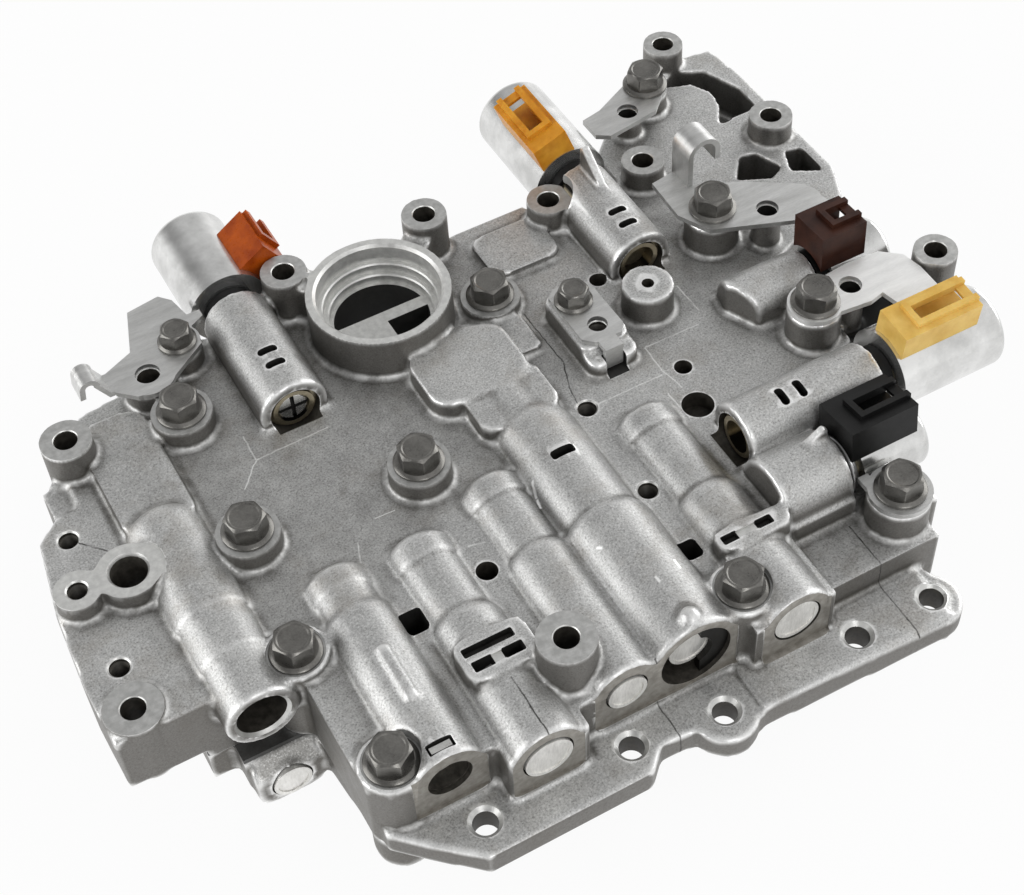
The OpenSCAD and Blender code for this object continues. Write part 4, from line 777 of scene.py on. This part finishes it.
def noses():
    """Bores for the noses of the solenoids, painted dark as shade."""
    for c, axis, front, mouth, windows in NOSES:
        yield turned, nose_base(c, axis), axis, [(front - 4, NOSE_R), (mouth + 0.4, NOSE_R)], 56


def grow_lower(bm):
    """A filler for the bore in the lower casting."""
    x, y0, y1, r, z = LOW_BORE
    turned(bm, (x, 0, z), "y", [(y0 + BELOW, r + 0.6), (y1 + 1, r + 0.6)])


def low_holes():
    """The bore in the lower casting, painted dark as shade."""
    x, y0, y1, r, z = LOW_BORE
    yield turned, (x, 0, z), "y", [(y0 - 2, r + 0.4), (y0 + 1.2, r + 0.4), (y0 + 1.2, r), (y1, r)], 48


def casting(node, grow, cuts, material, voxel, rounds, limit):
    """A node filled, remeshed, rounded, thinned to a number of triangles, machined, and marked for rubbed edges,
    dirt, painted highlights and painted shade.
    """
    bm = bmesh.new()
    bm.from_mesh(nodes[node].data)
    grow(bm)
    obj = new_object(node + "_cast", to_mesh(bm, node + "_cast"))
    mod = obj.modifiers.new("grid", "REMESH")
    mod.mode, mod.voxel_size, mod.adaptivity = "VOXEL", voxel * MM, 0
    mod = obj.modifiers.new("round", "SMOOTH")
    mod.factor, mod.iterations = 0.5, rounds
    settle(obj)
    count = sum(len(p.vertices) - 2 for p in obj.data.polygons)
    if count > limit:
        mod = obj.modifiers.new("thin", "DECIMATE")
        mod.ratio = limit / count
        settle(obj)
    paint(obj, material)
    for cutters, finish in cuts:
        cut(obj, list(cutters()), finish)
    crease(obj.data, 38)
    wear_and_glint(obj.data, 2, 3.0, 30, 0.9)
    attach(obj, "valve_body")
    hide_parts(node)
    return obj


UPPER_CUTS = [(tops, SEAT), (faces, CUT), (fronts, FRONT), (rims, CUT), (holes, SHADED_BORE), (slots, SHADED_PIT), (noses, SHADED_BORE)]
upper = casting("upper_casting", grow_upper, UPPER_CUTS, CAST, 0.75, 6, 165000)
lower = casting("lower_casting", grow_lower, [(low_holes, SHADED_BORE)], CAST_LOW, 1.0, 5, 60000)

# The screw in the left solenoid, with its cross slot: half width and half length of the slots.
SCREW_X, SCREW_FACE, SLOT_HALF, SLOT_LONG = NOSES[0][0], 46.1, 0.6, 5
bm = bmesh.new()
turned(bm, (SCREW_X, SCREW_FACE, SOL_Z), "y", [(0, 4.0), (0.4, 4.5), (3.3, 4.5)], 48)
screw = new_object("cross_screw", to_mesh(bm, "cross_screw"))
paint(screw, SCREW)
cross = [(brick, SCREW_X - wide, 45, SOL_Z - tall, SCREW_X + wide, 47.4, SOL_Z + tall)
         for wide, tall in ((SLOT_LONG, SLOT_HALF), (SLOT_HALF, SLOT_LONG))]
# The cross slot takes the near-black slot colour: painted shade.
cut(screw, cross, SHADED_PIT)
crease(screw.data, 30)
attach(screw, "valve_body")
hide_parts("adjuster_screw")

# Bolts: hexagons with a rubbed chamfer painted bright with a highlight, a washer face and a thread

# Height of the flange under a head, length and pitch of the thread, and the turn of each head.
WASHER, THREAD, PITCH = 1.4, 12, 1
TURNS = (8, 41, 20, 3, 31, 14, 52)


def hex_bolt(bm, x, y, seat, af, head, flange, shank, low, turn):
    """One bolt with its seat at a height; the narrow faces, rubbed and painted with a highlight, take the second
    material.
    """
    angles, rub_and_glint = [], []
    for k in range(6):
        for a in (1.3, 12, 21, 30, 39, 48, 58.7):
            angles.append(60 * k + a)
            rub_and_glint.append(a > 58)
    top = WASHER + head
    flat = af / 2

    def ring(radius, height):
        return [bm.verts.new(((x + radius(a) * math.cos(math.radians(a + turn))) * MM,
                              (y + radius(a) * math.sin(math.radians(a + turn))) * MM, (seat + height(a)) * MM))
                for a in angles]

    def hexagon(a):
        return flat / math.cos(math.radians(a % 60 - 30))

    rings = [ring(hexagon, lambda a: 1.2), ring(hexagon, lambda a: top - 0.12 - 0.58 * (hexagon(a) - flat + 0.3)),
             ring(lambda a: flat - 0.25, lambda a: top), ring(lambda a: flat - 0.75, lambda a: top),
             ring(lambda a: flat - 1.15, lambda a: top - 0.22), ring(lambda a: 0.4, lambda a: top - 0.3)]
    n = len(angles)
    for level, (low_ring, high_ring) in enumerate(zip(rings, rings[1:])):
        for k in range(n):
            m = (k + 1) % n
            face = bm.faces.new((low_ring[k], low_ring[m], high_ring[m], high_ring[k]))
            face.material_index = 1 if level == 1 or (level == 0 and rub_and_glint[k]) else 0
    bm.faces.new(rings[0][::-1])
    bm.faces.new(rings[-1])
    rim = [(0, flange - 0.15), (0.15, flange), (0.75, flange), (1.0, flange - 0.25), (WASHER, flat + 0.9),
           (WASHER, 1)]
    turned(bm, (x, y, seat), "z", rim, 56)
    profile = [(low, shank - 0.45)]
    z = low + 0.5
    while z < low + THREAD:
        profile += [(z, shank - 0.02), (z + PITCH / 2, shank - 0.4)]
        z += PITCH
    turned(bm, (x, y, 0), "z", profile + [(z, shank - 0.02), (seat + 0.5, shank - 0.02)], 24)


def bolts(node, places):
    """All the bolts of one node, as one piece."""
    bm = bmesh.new()
    for k, place in enumerate(places):
        hex_bolt(bm, *place, TURNS[k])
    obj = new_object(node + "_look", to_mesh(bm, node + "_look"))
    paint(obj, BOLT)
    obj.data.materials.append(BOLT_EDGE)
    crease(obj.data, 24)
    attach(obj, "valve_body")
    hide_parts(node)


bolts("flange_bolts", [(x, y, DECK + h, *FLANGE_BOLT, FLANGE_SHANK_END) for x, y, h in FLANGE_BOLTS])
bolts("small_bolts", [(x, y, z, *SMALL_BOLT, z - SHORT_SHANK) for x, y, z in SMALL_BOLTS])
bolts("bracket_bolts", [(x, y, z, *BRACKET_BOLT, z - SHORT_SHANK) for x, y, z in BRACKET_BOLTS])

# Return springs: each one is copied from its node as it is, in spring steel

for k, end in enumerate(SPRING_ENDS, 1):
    node = nodes[f"spring_{k}"]
    coil = new_object(f"coil_{k}", node.data.copy())
    coil.matrix_world = node.matrix_world
    paint(coil, SPRING)
    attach(coil, "valve_body")
    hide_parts(f"spring_{k}")
    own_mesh(coil)

# Stage: a pale floor that shows nearly white to the camera and in reflections, and keeps a faint shadow

FLOOR_SIZE, FLOOR_COLOUR, WHITE_SHARE = 4, (0.8, 0.8, 0.8, 1), 0.93
bm = bmesh.new()
bmesh.ops.create_grid(bm, x_segments=1, y_segments=1, size=FLOOR_SIZE)
floor = new_object("floor", to_mesh(bm, "floor"))
mat = bpy.data.materials.new("floor")
mat.use_nodes = True
tree = mat.node_tree
tree.nodes.clear()
out = tree.nodes.new("ShaderNodeOutputMaterial")
mix = tree.nodes.new("ShaderNodeMixShader")
path = tree.nodes.new("ShaderNodeLightPath")
pale = tree.nodes.new("ShaderNodeBsdfDiffuse")
pale.inputs["Color"].default_value = FLOOR_COLOUR
white = tree.nodes.new("ShaderNodeEmission")
white.inputs["Color"].default_value = (1, 1, 1, 1)
seen = None
for kind in ("Is Camera Ray", "Is Glossy Ray", "Is Transmission Ray"):
    either = tree.nodes.new("ShaderNodeMath")
    either.operation = "MAXIMUM"
    tree.links.new(path.outputs[kind], either.inputs[0])
    if seen:
        tree.links.new(seen, either.inputs[1])
    seen = either.outputs[0]
share = tree.nodes.new("ShaderNodeMath")
share.operation = "MULTIPLY"
share.inputs[1].default_value = WHITE_SHARE
tree.links.new(seen, share.inputs[0])
tree.links.new(share.outputs[0], mix.inputs[0])
tree.links.new(pale.outputs[0], mix.inputs[1])
tree.links.new(white.outputs[0], mix.inputs[2])
tree.links.new(mix.outputs[0], out.inputs[0])
floor.data.materials.append(mat)

# White walls all round, a large soft light over the camera and a darker ceiling at the back.
world = bpy.data.worlds.new("studio")
scene.world = world
world.use_nodes = True
tree = world.node_tree
coord = tree.nodes.new("ShaderNodeTexCoord")
split = tree.nodes.new("ShaderNodeSeparateXYZ")
tree.links.new(coord.outputs["Generated"], split.inputs[0])


def ramp(axis, a, b, c, d):
    """Brightness from c to d as the direction along an axis goes from a to b."""
    node = tree.nodes.new("ShaderNodeMapRange")
    for name, value in (("From Min", a), ("From Max", b), ("To Min", c), ("To Max", d)):
        node.inputs[name].default_value = value
    tree.links.new(split.outputs[axis], node.inputs["Value"])
    return node.outputs[0]


level = tree.nodes.new("ShaderNodeMix")
level.data_type = "FLOAT"
tree.links.new(ramp("Z", 0.12, 0.5, 0.0, 1.0), level.inputs[0])
tree.links.new(ramp("X", -0.9, 0.6, 0.85, 1.1), level.inputs[2])
above = tree.nodes.new("ShaderNodeMath")
above.operation = "MULTIPLY"
tree.links.new(ramp("Y", -0.6, 0.55, 0.9, 0.6), above.inputs[0])
tree.links.new(ramp("X", -0.6, 0.0, 0.3, 1.0), above.inputs[1])
tree.links.new(above.outputs[0], level.inputs[3])
sky = tree.nodes["Background"]
sky.inputs["Color"].default_value = (1, 1, 1, 1)
tree.links.new(level.outputs[0], sky.inputs["Strength"])


def area(name, place, target, size, power, size_y=None):
    """A soft lamp turned to a point; metres and watts."""
    data = bpy.data.lights.new(name, "AREA")
    data.shape, data.size, data.size_y, data.energy = "RECTANGLE", size, size_y or size, power
    obj = bpy.data.objects.new(name, data)
    scene.collection.objects.link(obj)
    obj.location = place
    obj.rotation_mode = "QUATERNION"
    obj.rotation_quaternion = (Vector(target) - Vector(place)).to_track_quat("-Z", "Y")


AIM = (0.03, 0.02, 0.04)
area("left", (-1.05, 0.25, 0.45), AIM, 1.2, 7.6, 0.7)
area("right", (1.2, 0.25, 0.43), AIM, 1.2, 6.2, 0.7)
area("front", (-0.1, -0.9, 0.8), AIM, 0.35, 1.6)

# Camera at the photograph's view: solved from the valve bores and the flange line. Focal length in pixels, depth in
# metres of the middle of the deck, and where the picture shows that point.
WIDE, HIGH, SENSOR = 1024, 895, 36
FOCAL, DEPTH, MIDDLE = 1846.0, 0.492, (430, 500)
az, el, roll = (math.radians(v) for v in (-26.0, 50.4, -3.9))
back = Vector((math.sin(az) * math.cos(el), -math.cos(az) * math.cos(el), math.sin(el)))
fwd = -back
right = fwd.cross(Vector((0, 0, 1))).normalized()
down = fwd.cross(right)
c, s = math.cos(roll), math.sin(roll)
right, down = right * c - down * s, right * s + down * c
SEEN = (MIDDLE[0] - WIDE / 2) / FOCAL, (MIDDLE[1] - HIGH / 2) / FOCAL
eye = Vector((0, 0, DECK * MM)) - DEPTH * (right * SEEN[0] + down * SEEN[1] + fwd)
cam = bpy.data.objects.new("camera", bpy.data.cameras.new("camera"))
scene.collection.objects.link(cam)
cam.data.sensor_width = SENSOR
cam.data.lens = FOCAL * SENSOR / WIDE
cam.data.clip_start, cam.data.clip_end = 0.01, 50
turn = Matrix((right, -down, -fwd)).transposed()
cam.matrix_world = Matrix.Translation(eye) @ turn.to_4x4()
scene.camera = cam
scene.view_settings.view_transform = "Standard"
